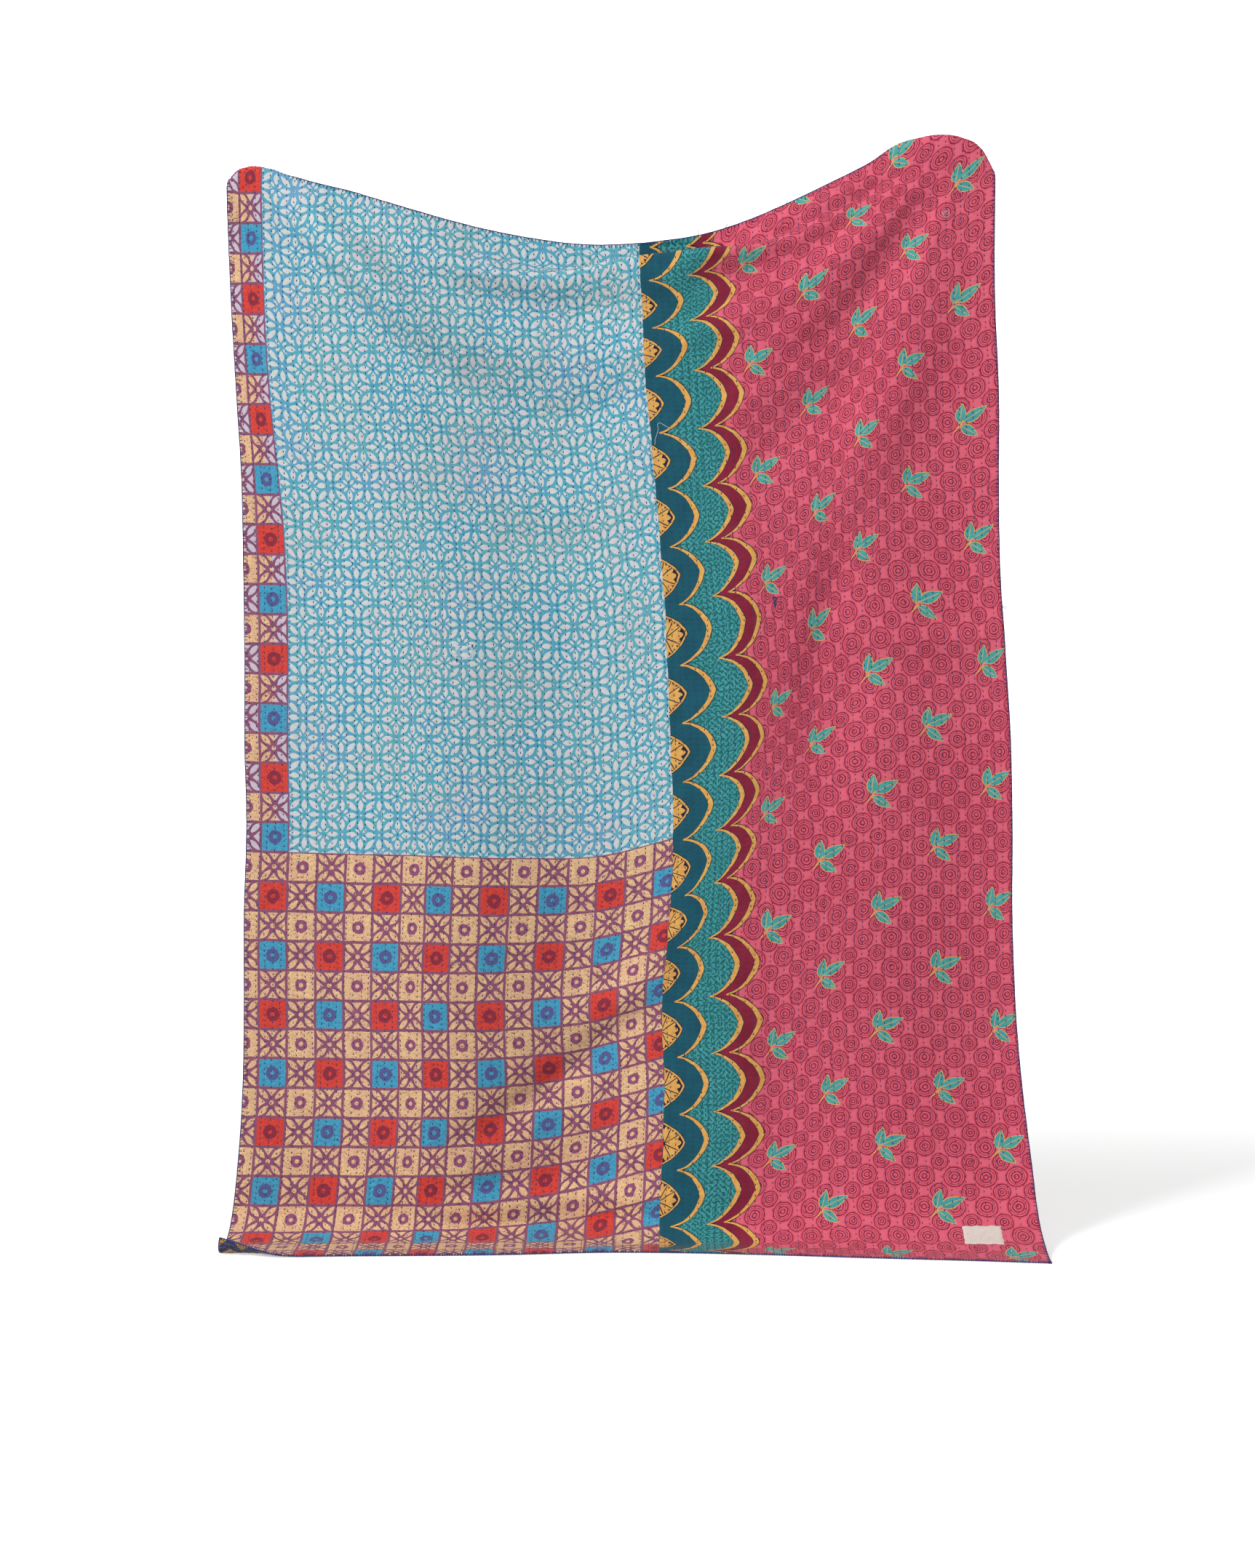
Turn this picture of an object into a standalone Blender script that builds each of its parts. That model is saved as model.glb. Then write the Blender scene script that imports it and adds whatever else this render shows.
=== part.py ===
"""A kantha throw held up by its two top corners, its foot resting on the floor.

Two printed cotton cloths are joined side by side and quilted to a backing cloth with upright rows
of running stitch. The top edge swags between the corners, the corners fold back over what holds
them, a pleat runs below the swag, and the foot curls forward on the floor.

Metres, +Z up, the front faces -Y. The origin is the lowest point of the swagged top edge.
A point of the cloth is given by how far it is across from the left edge and how far down from the
straight line between the top corners, both measured on the flat cloth.
"""

import math

import bmesh
import bpy
import numpy as np

# Flat sizes of the cloths
CLOTH_LENGTH = 1.84
LEFT_WIDTH = 0.68
RIGHT_WIDTH = 0.60
FULL_WIDTH = LEFT_WIDTH + RIGHT_WIDTH
TOP_CLOTH = 0.0011
BACK_CLOTH = 0.0010
CLOTH_GAP = 0.0005
SEAM_GAP = 0.0006

# Quilting: a stitch line at each valley, a soft rib between two lines
LEFT_RIBS = 21
RIGHT_RIBS = 18
RIB_HEIGHT = 0.0012
SEAM_TURNING = 0.020
SEAM_RISE = 0.0009

# Height of the origin, the low point of the swag, above the floor
SWAG_LOW_HEIGHT = 1.565

# Outline of the hanging throw from the front: height above the floor, then the left edge, the seam
# and the right edge, as distances from the middle
OUTLINE = (
    # height, left, seam, right
    (0.00, -0.634, 0.047, 0.640),
    (0.09, -0.624, 0.051, 0.635),
    (0.23, -0.614, 0.056, 0.622),
    (0.37, -0.611, 0.052, 0.611),
    (0.51, -0.610, 0.064, 0.605),
    (0.65, -0.605, 0.070, 0.604),
    (0.79, -0.607, 0.065, 0.600),
    (0.92, -0.606, 0.060, 0.591),
    (1.06, -0.607, 0.052, 0.581),
    (1.20, -0.609, 0.040, 0.578),
    (1.33, -0.616, 0.028, 0.577),
    (1.47, -0.623, 0.020, 0.570),
    (1.60, -0.627, 0.014, 0.568),
    (1.75, -0.627, 0.010, 0.568),
)

# The top edge, where the cloth turns over a rounded crest at the two held corners and ends in its hem
# just short of that crest between them: how far across; height of the crest; how far down the flat
# cloth the crest and the hem lie; and how far the pleat below the crest turns forward, in degrees
TOP_EDGE = (
    # across, crest height, crest down, hem down, pleat turn
    (0.000, 1.657, 0.066, 0.000, 0.0),
    (0.010, 1.671, 0.052, 0.006, 0.0),
    (0.032, 1.681, 0.042, 0.022, 0.0),
    (0.065, 1.679, 0.044, 0.040, 0.0),
    (0.097, 1.671, 0.043, 0.048, 0.0),
    (0.130, 1.667, 0.049, 0.060, 0.0),
    (0.207, 1.649, 0.066, 0.077, 0.0),
    (0.279, 1.629, 0.085, 0.096, 0.0),
    (0.351, 1.610, 0.102, 0.113, 12.0),
    (0.423, 1.594, 0.116, 0.127, 38.0),
    (0.495, 1.582, 0.121, 0.132, 62.0),
    (0.567, 1.574, 0.119, 0.130, 95.0),
    (0.639, 1.572, 0.107, 0.118, 150.0),
    (0.713, 1.577, 0.107, 0.118, 166.0),
    (0.787, 1.588, 0.121, 0.132, 152.0),
    (0.861, 1.609, 0.129, 0.140, 100.0),
    (0.934, 1.636, 0.126, 0.137, 66.0),
    (1.008, 1.668, 0.098, 0.109, 55.0),
    (1.081, 1.702, 0.064, 0.074, 50.0),
    (1.115, 1.718, 0.053, 0.056, 40.0),
    (1.150, 1.727, 0.050, 0.041, 22.0),
    (1.190, 1.731, 0.050, 0.027, 5.0),
    (1.225, 1.726, 0.057, 0.017, 0.0),
    (1.255, 1.712, 0.073, 0.008, 0.0),
    (1.280, 1.672, 0.113, 0.000, 0.0),
)

# How the cloth falls below the swag: heights of the points 1.11 m and 1.66 m down the cloth, the
# radius of the foot's curl, how far the foot stands forward, and how far the corner lip turns up
MIDDLE_DOWN = 1.11
LOWER_DOWN = 1.66
FALL = (
    # across, middle height, lower height, curl radius, kick, lip turn
    (0.00, 0.610, 0.055, 0.050, 0.012, 88.0),
    (0.03, 0.610, 0.055, 0.050, 0.011, 58.0),
    (0.06, 0.610, 0.055, 0.050, 0.010, 30.0),
    (0.09, 0.610, 0.056, 0.050, 0.008, 8.0),
    (0.13, 0.610, 0.057, 0.050, 0.006, 0.0),
    (0.45, 0.605, 0.070, 0.052, 0.004, 0.0),
    (0.60, 0.611, 0.094, 0.054, 0.012, 0.0),
    (0.68, 0.620, 0.106, 0.055, 0.025, 0.0),
    (0.86, 0.660, 0.112, 0.060, 0.045, 0.0),
    (1.00, 0.669, 0.119, 0.066, 0.068, 0.0),
    (1.15, 0.670, 0.123, 0.076, 0.085, 0.0),
    (1.28, 0.670, 0.124, 0.086, 0.100, 0.0),
)
KICK_HEIGHT = 0.36
LIP_LENGTH = 0.042
LEAST_LIP_TURN = 0.5

# Where the cloth turns over its crest, and the pleat below it
CREST_RADIUS = 0.007
PLEAT_START = 0.041
PLEAT_LENGTH = 0.056
PLEAT_RUN_OUT = 0.004
PLEAT_END = PLEAT_START + PLEAT_LENGTH + PLEAT_RUN_OUT

# Main folds as soft troughs (below 0) and ridges (above 0), each a curve from a start by way of a
# low point to an end, in distances across and down
FOLDS = (
    # start across, down, by way of across, down, end across, down, half width, depth
    (0.12, 0.17, 0.32, 0.45, 0.66, 0.41, 0.034, -0.012),
    (0.10, 0.08, 0.32, 0.38, 0.67, 0.33, 0.034, 0.013),
    (0.24, 0.15, 0.44, 0.27, 0.68, 0.25, 0.024, -0.010),
    (1.15, 0.09, 0.95, 0.27, 0.72, 0.26, 0.024, -0.010),
    (1.15, 0.11, 0.95, 0.35, 0.65, 0.33, 0.026, 0.013),
    (1.18, 0.12, 1.02, 0.40, 0.80, 0.43, 0.028, -0.014),
    (1.21, 0.20, 1.10, 0.50, 0.98, 0.72, 0.042, 0.013),
    (1.06, 0.54, 0.96, 0.78, 0.90, 1.02, 0.038, -0.015),
    (0.30, 0.50, 0.40, 0.66, 0.62, 0.62, 0.050, -0.009),
    (0.34, 1.58, 0.50, 1.50, 0.66, 1.38, 0.030, -0.013),
    (0.40, 1.66, 0.54, 1.60, 0.66, 1.50, 0.028, 0.010),
    (1.06, 0.80, 1.17, 0.81, 1.27, 0.80, 0.022, -0.006),
)
FOLD_TAPER = 0.06
FADE_START = 0.02
FADE_LENGTH = 0.10

# Wide slow waves of the whole sheet: their depth, their length across, and where they start
WAVES = (
    # depth, length, shift, grows downwards
    (0.015, 0.62, 0.10, 0.4),
    (0.009, 0.37, 0.25, 1.0),
)

# Rows of the mesh: distances below the crest line as far as the pleat's end, never closer to the hem
# than the least step times the row's number, then shares of the fall, of the foot's curl and of the
# run on the floor
CREST_ROWS = (-0.030, -0.011, -0.004, 0.004, 0.011, 0.020)
PLEAT_ROWS = (0.041, 0.052, 0.061, 0.069, 0.077, 0.086, 0.097, 0.108)
LEAST_STEP = 0.0012
FALL_ROWS = (
    0.025, 0.052, 0.080, 0.109, 0.139, 0.170, 0.203, 0.238, 0.275, 0.315, 0.36,
    0.41, 0.465, 0.525, 0.59, 0.66, 0.73, 0.80, 0.86, 0.91, 0.955, 1.0,
)
CURL_ROWS = (0.30, 0.60, 0.80, 1.0)
FLOOR_ROWS = (0.56, 0.78, 1.0)

# Fineness of the curves: samples along the pleat and along each fold, and the step that finds which
# way the cloth faces
PLEAT_SAMPLES = 24
FOLD_SAMPLES = 10
FACING_STEP = 0.0004

# Label near the lower right corner: where its middle lies on the cloth, and its size
LABEL_ACROSS = 1.188
LABEL_DOWN = 1.777
LABEL_WIDTH = 0.061
LABEL_HEIGHT = 0.038
LABEL_THICKNESS = 0.0010
LABEL_STEPS = 6


def table_value(table, column, x):
    """A column of a table at x, on a smooth curve through the table's rows."""
    xs = np.array([row[0] for row in table])
    ys = np.array([row[column] for row in table])
    slopes = np.gradient(ys, xs)
    i = np.clip(np.searchsorted(xs, x) - 1, 0, len(xs) - 2)
    step = xs[i + 1] - xs[i]
    t = np.clip((x - xs[i]) / step, 0, 1)
    start = (1 + 2 * t) * (1 - t) ** 2 * ys[i] + t * (1 - t) ** 2 * step * slopes[i]
    end = t * t * (3 - 2 * t) * ys[i + 1] - t * t * (1 - t) * step * slopes[i + 1]
    return start + end


def soft_step(t):
    """Rises smoothly from 0 to 1 as t does."""
    t = np.clip(t, 0, 1)
    return t * t * (3 - 2 * t)


def pleat_path(below, turn):
    """Drop and run forward of the cloth along a pleat that turns forward over itself and falls."""
    share = np.clip((below - PLEAT_START) / PLEAT_LENGTH, 0, 1)
    drop = np.minimum(below, PLEAT_START) + np.maximum(below - PLEAT_START - PLEAT_LENGTH, 0)
    forward = 0 * drop
    for k in range(PLEAT_SAMPLES):
        t = share * (k + 0.5) / PLEAT_SAMPLES
        angle = turn * np.sin(math.pi * t) ** 2
        drop = drop + np.cos(angle) * share * PLEAT_LENGTH / PLEAT_SAMPLES
        forward = forward + np.sin(angle) * share * PLEAT_LENGTH / PLEAT_SAMPLES
    return drop, forward


def fold_depth(across, down):
    """How far the main folds push the cloth forward at a point."""
    forward = 0 * across
    places = np.linspace(0, 1, FOLD_SAMPLES + 1)
    for x0, y0, x1, y1, x2, y2, half_width, depth in FOLDS:
        xs = (1 - places) ** 2 * x0 + 2 * places * (1 - places) * x1 + places ** 2 * x2
        ys = (1 - places) ** 2 * y0 + 2 * places * (1 - places) * y1 + places ** 2 * y2
        nearest = np.full(np.shape(across), np.inf)
        place = 0 * across
        for k in range(FOLD_SAMPLES):
            run_x = xs[k + 1] - xs[k]
            run_y = ys[k + 1] - ys[k]
            along = (across - xs[k]) * run_x + (down - ys[k]) * run_y
            along = np.clip(along / (run_x ** 2 + run_y ** 2), 0, 1)
            away = (across - xs[k] - along * run_x) ** 2 + (down - ys[k] - along * run_y) ** 2
            place = np.where(away < nearest, (k + along) / FOLD_SAMPLES, place)
            nearest = np.minimum(away, nearest)
        taper = np.sin(math.pi * (FOLD_TAPER + (1 - 2 * FOLD_TAPER) * place))
        forward = forward + depth * taper * np.exp(-nearest / half_width ** 2)
    return forward


def middle_surface(across, down):
    """Place of a point of the cloth's middle surface, as x, y and height above the floor."""
    crest = table_value(TOP_EDGE, 1, across)
    crest_down = table_value(TOP_EDGE, 2, across)
    turn = np.radians(table_value(TOP_EDGE, 4, across))
    middle = table_value(FALL, 1, across)
    lower = table_value(FALL, 2, across)
    curl = table_value(FALL, 3, across)
    kick = table_value(FALL, 4, across)
    lip = np.radians(np.maximum(table_value(FALL, 5, across), LEAST_LIP_TURN))
    below = down - crest_down

    # Over the crest and down behind it
    arc = CREST_RADIUS * math.pi / 2
    bend = np.clip(below, -arc, arc) / CREST_RADIUS
    crest_drop = CREST_RADIUS * (1 - np.cos(bend)) + np.maximum(np.abs(below) - arc, 0)
    crest_y = CREST_RADIUS * (1 - np.sin(bend))

    # The pleat, then the fall to the start of the foot's curl
    drop, pleat_run = pleat_path(below, turn)
    end_drop, end_run = pleat_path(0 * below + PLEAT_END, turn)
    pleat_height = crest - CREST_RADIUS - (end_drop - arc)
    fall_start = crest_down + PLEAT_END
    curl_start = LOWER_DOWN + lower - curl
    upper_part = np.clip((down - fall_start) / (MIDDLE_DOWN - fall_start), 0, 1)
    lower_part = np.clip((down - MIDDLE_DOWN) / (LOWER_DOWN - MIDDLE_DOWN), 0, 1)
    fall = pleat_height + (middle - pleat_height) * upper_part + (lower - middle) * lower_part
    height = np.where(below > arc, crest - CREST_RADIUS - (drop - arc), crest - crest_drop)
    height = np.where(below > PLEAT_END, fall, height)
    height = np.where(down > LOWER_DOWN, lower - (down - LOWER_DOWN), height)
    y = end_run - pleat_run + crest_y

    # The curl of the foot, the run on the floor, and the lip of the left corner
    turned = np.clip((down - curl_start) / curl, 0, math.pi / 2)
    flat_start = curl_start + curl * math.pi / 2
    lip_start = np.maximum(CLOTH_LENGTH - LIP_LENGTH, flat_start)
    lip_radius = LIP_LENGTH / lip
    lip_turned = np.clip(down - lip_start, 0, LIP_LENGTH) / lip_radius
    flat_run = np.clip(down - flat_start, 0, lip_start - flat_start)
    foot_height = curl * (1 - np.sin(turned)) + lip_radius * (1 - np.cos(lip_turned))
    foot_y = -curl * (1 - np.cos(turned)) - flat_run - lip_radius * np.sin(lip_turned)
    height = np.where(down > curl_start, foot_height, height)
    y = y + np.where(down > curl_start, foot_y, 0)
    y = y - kick * (1 - np.clip(height / KICK_HEIGHT, 0, 1)) ** 2 * (down > MIDDLE_DOWN)

    # Folds and slow waves fade out at the crest and on the floor
    free = soft_step((below - FADE_START) / FADE_LENGTH) * soft_step((flat_start - down) / FADE_LENGTH)
    forward = fold_depth(across, down)
    for depth, length, shift, growth in WAVES:
        swing = np.sin(2 * math.pi * (across - shift) / length)
        forward = forward + depth * swing * (1 - growth + growth * down / CLOTH_LENGTH)
    y = y - forward * free

    # From flat distance across to the outline at this height
    left = table_value(OUTLINE, 1, height)
    seam = table_value(OUTLINE, 2, height)
    right = table_value(OUTLINE, 3, height)
    on_left = left + (seam - left) * across / LEFT_WIDTH
    on_right = seam + (right - seam) * (across - LEFT_WIDTH) / RIGHT_WIDTH
    x = np.where(across < LEFT_WIDTH, on_left, on_right)
    return np.stack((x, y, height), axis=-1)


def cloth_point(across, down, offset):
    """Points at a distance in front of the middle surface, measured square to it."""
    step = FACING_STEP
    inner = np.clip(across, step, FULL_WIDTH - step)
    along = middle_surface(inner + step, down) - middle_surface(inner - step, down)
    falling = middle_surface(across, down + step) - middle_surface(across, down - step)
    normal = np.cross(falling, along)
    normal /= np.linalg.norm(normal, axis=-1, keepdims=True)
    point = middle_surface(across, down) + normal * np.asarray(offset)[..., None]
    point[..., 2] += BACK_CLOTH + CLOTH_GAP / 2 - SWAG_LOW_HEIGHT
    return point


def row_downs(across):
    """Where the mesh rows cross the cloth at given distances across, one array to a row."""
    crest_down = table_value(TOP_EDGE, 2, across)
    hem_down = table_value(TOP_EDGE, 3, across)
    curl = table_value(FALL, 3, across)
    curl_start = LOWER_DOWN + table_value(FALL, 2, across) - curl
    flat_start = curl_start + curl * math.pi / 2
    rows = [hem_down]
    for number, below in enumerate(CREST_ROWS + PLEAT_ROWS):
        rows.append(np.maximum(crest_down + below, hem_down + LEAST_STEP * (number + 1)))
    fall_start = rows[-1]
    rows += [fall_start + (curl_start - fall_start) * share for share in FALL_ROWS]
    rows += [curl_start + (flat_start - curl_start) * share for share in CURL_ROWS]
    rows += [flat_start + (CLOTH_LENGTH - flat_start) * share for share in FLOOR_ROWS]
    return np.array(rows)


def row_point(across, down, offset):
    """Points on the straight lines between the mesh rows, so that what is sewn on lies flat."""
    points = []
    for x in across:
        rows = row_downs(np.array([x]))[:, 0]
        r = int(np.searchsorted(rows, down)) - 1
        ends = cloth_point(np.array([x, x]), rows[r:r + 2], np.array([offset, offset]))
        share = (down - rows[r]) / (rows[r + 1] - rows[r])
        points.append(ends[0] * (1 - share) + ends[1] * share)
    return points


def make_cloth(name, columns, back_offset, front_offset, quilted, material):
    """A closed sheet through upright stitch lines, with quilting ribs raised on its front."""
    ribs = len(columns) - 1
    downs = row_downs(columns)
    across = np.broadcast_to(columns, downs.shape)
    back = cloth_point(across, downs, np.full(downs.shape, back_offset))
    rise = SEAM_RISE * soft_step(1 - np.abs(across - LEFT_WIDTH) / SEAM_TURNING) * (columns[-1] < FULL_WIDTH)
    front = cloth_point(across, downs, front_offset + rise)
    step = 1
    if quilted:
        step = 2
        outward = (front - back) / np.linalg.norm(front - back, axis=-1, keepdims=True)
        ribbed = np.empty((len(front), ribs * 2 + 1, 3))
        ribbed[:, ::2] = front
        ribbed[:, 1::2] = (front[:, :-1] + front[:, 1:]) / 2
        ribbed[:, 1::2] += (outward[:, :-1] + outward[:, 1:]) / 2 * RIB_HEIGHT
        front = ribbed

    mesh = bmesh.new()
    front_verts = [[mesh.verts.new(p) for p in row] for row in front]
    back_verts = [[mesh.verts.new(p) for p in row] for row in back]
    rows = len(front_verts)
    wide = len(front_verts[0]) - 1
    for r in range(rows - 1):
        for c in range(wide):
            a, b = front_verts[r][c], front_verts[r][c + 1]
            d, e = front_verts[r + 1][c], front_verts[r + 1][c + 1]
            mesh.faces.new((d, e, b))
            mesh.faces.new((d, b, a))
        for c in range(wide // step):
            a, b = back_verts[r][c], back_verts[r][c + 1]
            d, e = back_verts[r + 1][c], back_verts[r + 1][c + 1]
            mesh.faces.new((b, e, d))
            mesh.faces.new((a, b, d))
        for f, g, side in ((front_verts, back_verts, 0), (back_verts, front_verts, -1)):
            mesh.faces.new((f[r][side], g[r][side], g[r + 1][side]))
            mesh.faces.new((f[r][side], g[r + 1][side], f[r + 1][side]))
    for r, flip in ((0, False), (rows - 1, True)):
        for c in range(wide // step):
            faces = [(back_verts[r][c], front_verts[r][c * step], back_verts[r][c + 1])]
            for k in range(step):
                near = front_verts[r][c * step + k]
                faces.append((near, front_verts[r][c * step + k + 1], back_verts[r][c + 1]))
            for face in faces:
                mesh.faces.new(tuple(reversed(face)) if flip else face)
    return finish_object(mesh, name, material)


def make_label(material):
    """A small woven rectangle sewn flat over the quilting."""
    clear = CLOTH_GAP / 2 + TOP_CLOTH + RIB_HEIGHT + CLOTH_GAP
    share = np.linspace(-0.5, 0.5, LABEL_STEPS + 1)
    across = LABEL_ACROSS + LABEL_WIDTH * share
    mesh = bmesh.new()
    layers = []
    for offset in (clear, clear + LABEL_THICKNESS):
        points = [row_point(across, LABEL_DOWN + LABEL_HEIGHT * k, offset) for k in share]
        layers.append([[mesh.verts.new(p) for p in row] for row in points])
    under, over = layers
    n = LABEL_STEPS
    for r in range(n):
        for c in range(n):
            mesh.faces.new((over[r + 1][c], over[r + 1][c + 1], over[r][c + 1], over[r][c]))
            mesh.faces.new((under[r][c], under[r][c + 1], under[r + 1][c + 1], under[r + 1][c]))
        mesh.faces.new((over[r][0], under[r][0], under[r + 1][0], over[r + 1][0]))
        mesh.faces.new((under[r][n], over[r][n], over[r + 1][n], under[r + 1][n]))
        mesh.faces.new((under[0][r], over[0][r], over[0][r + 1], under[0][r + 1]))
        mesh.faces.new((over[n][r], under[n][r], under[n][r + 1], over[n][r + 1]))
    bmesh.ops.triangulate(mesh, faces=mesh.faces)
    return finish_object(mesh, "label", material)


def finish_object(mesh, name, material):
    """Turn a finished mesh into a named, smooth-shaded object with its material."""
    bmesh.ops.recalc_face_normals(mesh, faces=mesh.faces)
    data = bpy.data.meshes.new(name)
    mesh.to_mesh(data)
    mesh.free()
    data.shade_smooth()
    data.set_sharp_from_angle(angle=math.radians(50))
    data.materials.append(material)
    thing = bpy.data.objects.new(name, data)
    bpy.context.scene.collection.objects.link(thing)
    return thing


def make_material(name, color, roughness):
    """A plain cotton finish."""
    material = bpy.data.materials.new(name)
    material.use_nodes = True
    shader = material.node_tree.nodes["Principled BSDF"]
    shader.inputs["Base Color"].default_value = (*color, 1.0)
    shader.inputs["Roughness"].default_value = roughness
    shader.inputs["Metallic"].default_value = 0.0
    return material


for old in list(bpy.data.objects):
    bpy.data.objects.remove(old, do_unlink=True)

left_lines = np.linspace(0, LEFT_WIDTH, LEFT_RIBS + 1)
right_lines = np.linspace(LEFT_WIDTH, FULL_WIDTH, RIGHT_RIBS + 1)
backing_lines = np.concatenate((left_lines, right_lines[1:]))
left_lines[-1] -= SEAM_GAP / 2
right_lines[0] += SEAM_GAP / 2
half_gap = CLOTH_GAP / 2
make_cloth(
    "panel_left", left_lines, half_gap, half_gap + TOP_CLOTH, True,
    make_material("left_cotton", (0.24, 0.50, 0.62), 0.9),
)
make_cloth(
    "panel_right", right_lines, half_gap, half_gap + TOP_CLOTH, True,
    make_material("right_cotton", (0.62, 0.10, 0.17), 0.9),
)
make_cloth(
    "backing", backing_lines, -half_gap - BACK_CLOTH, -half_gap, False,
    make_material("backing_cotton", (0.45, 0.33, 0.12), 0.9),
)
make_label(make_material("label_tape", (0.85, 0.80, 0.72), 0.85))
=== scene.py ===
import functools
import math

import bpy
import numpy as np
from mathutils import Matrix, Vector


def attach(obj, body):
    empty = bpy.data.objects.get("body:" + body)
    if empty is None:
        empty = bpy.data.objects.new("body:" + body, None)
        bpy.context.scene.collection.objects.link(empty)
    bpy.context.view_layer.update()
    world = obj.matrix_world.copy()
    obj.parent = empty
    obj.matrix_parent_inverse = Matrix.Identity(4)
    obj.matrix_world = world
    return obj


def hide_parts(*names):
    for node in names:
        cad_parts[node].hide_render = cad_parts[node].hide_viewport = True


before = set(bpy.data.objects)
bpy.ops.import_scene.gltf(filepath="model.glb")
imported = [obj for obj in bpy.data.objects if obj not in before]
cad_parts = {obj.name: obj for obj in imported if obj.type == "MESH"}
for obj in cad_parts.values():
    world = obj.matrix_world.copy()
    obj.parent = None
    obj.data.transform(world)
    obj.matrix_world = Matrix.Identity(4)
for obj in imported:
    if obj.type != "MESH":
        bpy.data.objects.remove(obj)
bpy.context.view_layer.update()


# ---- Backing cloth ----
# One cotton sheet, as wide as both front cloths, that the quilting holds behind them. It gives the
# throw its hanging shape: held by two corners, a swag and a pleat between them, a curling foot.

CLOTH_LENGTH = 1.84
LEFT_WIDTH = 0.68
FULL_WIDTH = 1.28
SWAG_LOW_HEIGHT = 1.565

OUTLINE = (
    # mm: height above the floor; left edge, seam and right edge as distances from the middle
    (0, -634, 47, 640),
    (90, -624, 51, 635),
    (230, -614, 56, 622),
    (370, -611, 52, 611),
    (510, -610, 64, 605),
    (650, -605, 70, 604),
    (790, -607, 65, 600),
    (920, -606, 60, 591),
    (1060, -607, 52, 581),
    (1200, -609, 40, 578),
    (1330, -616, 28, 577),
    (1470, -623, 20, 570),
    (1600, -627, 14, 568),
    (1750, -627, 10, 568),
)

TOP_EDGE = (
    # mm: across; crest height; crest and hem down the flat cloth. Then the pleat's turn in degrees
    (0, 1657, 66, 0, 0),
    (10, 1671, 52, 6, 0),
    (32, 1681, 42, 22, 0),
    (65, 1679, 44, 40, 0),
    (97, 1671, 43, 48, 0),
    (130, 1667, 49, 60, 0),
    (207, 1649, 66, 77, 0),
    (279, 1629, 85, 96, 0),
    (351, 1610, 102, 113, 12),
    (423, 1594, 116, 127, 38),
    (495, 1582, 121, 132, 62),
    (567, 1574, 119, 130, 95),
    (639, 1572, 107, 118, 150),
    (713, 1577, 107, 118, 166),
    (787, 1588, 121, 132, 152),
    (861, 1609, 129, 140, 100),
    (934, 1636, 126, 137, 66),
    (1008, 1668, 98, 109, 55),
    (1081, 1702, 64, 74, 50),
    (1115, 1718, 53, 56, 40),
    (1150, 1727, 50, 41, 22),
    (1190, 1731, 50, 27, 5),
    (1225, 1726, 57, 17, 0),
    (1255, 1712, 73, 8, 0),
    (1280, 1672, 113, 0, 0),
)

MIDDLE_DOWN = 1.11
LOWER_DOWN = 1.66
KICK_HEIGHT = 0.36
LIP_LENGTH = 0.042
FALL = (
    # mm: across; height at MIDDLE_DOWN and LOWER_DOWN; foot's curl radius and kick. Then the lip's degrees
    (0, 610, 55, 50, 12, 88),
    (30, 610, 55, 50, 11, 58),
    (60, 610, 55, 50, 10, 30),
    (90, 610, 56, 50, 8, 8),
    (130, 610, 57, 50, 6, 0),
    (450, 605, 70, 52, 4, 0),
    (600, 611, 94, 54, 12, 0),
    (680, 620, 106, 55, 25, 0),
    (860, 660, 112, 60, 45, 0),
    (1000, 669, 119, 66, 68, 0),
    (1150, 670, 123, 76, 85, 0),
    (1280, 670, 124, 86, 100, 0),
)

CREST_RADIUS = 0.007
PLEAT_START = 0.041
PLEAT_LENGTH = 0.056
PLEAT_STEPS = 24
PLEAT_END = PLEAT_START + PLEAT_LENGTH + 0.004

FOLDS = (
    # mm: start, by way of and end, each as across and down; half width; depth, forward above 0
    (120, 170, 320, 450, 660, 410, 34, -12),
    (100, 80, 320, 380, 670, 330, 34, 13),
    (240, 150, 440, 270, 680, 250, 24, -10),
    (1150, 90, 950, 270, 720, 260, 24, -10),
    (1150, 110, 950, 350, 650, 330, 26, 13),
    (1180, 120, 1020, 400, 800, 430, 28, -14),
    (1210, 200, 1100, 500, 980, 720, 42, 13),
    (1060, 540, 960, 780, 900, 1020, 38, -15),
    (300, 500, 400, 660, 620, 620, 50, -9),
    (340, 1580, 500, 1500, 660, 1380, 30, -13),
    (400, 1660, 540, 1600, 660, 1500, 28, 10),
    (1060, 800, 1170, 810, 1270, 800, 22, -6),
    (60, 90, 120, 180, 260, 270, 12, -4),
    (100, 90, 180, 150, 300, 200, 10, 3),
    (1160, 90, 1100, 170, 1040, 220, 11, -4),
    (1220, 120, 1170, 220, 1130, 310, 12, 4),
)
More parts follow.
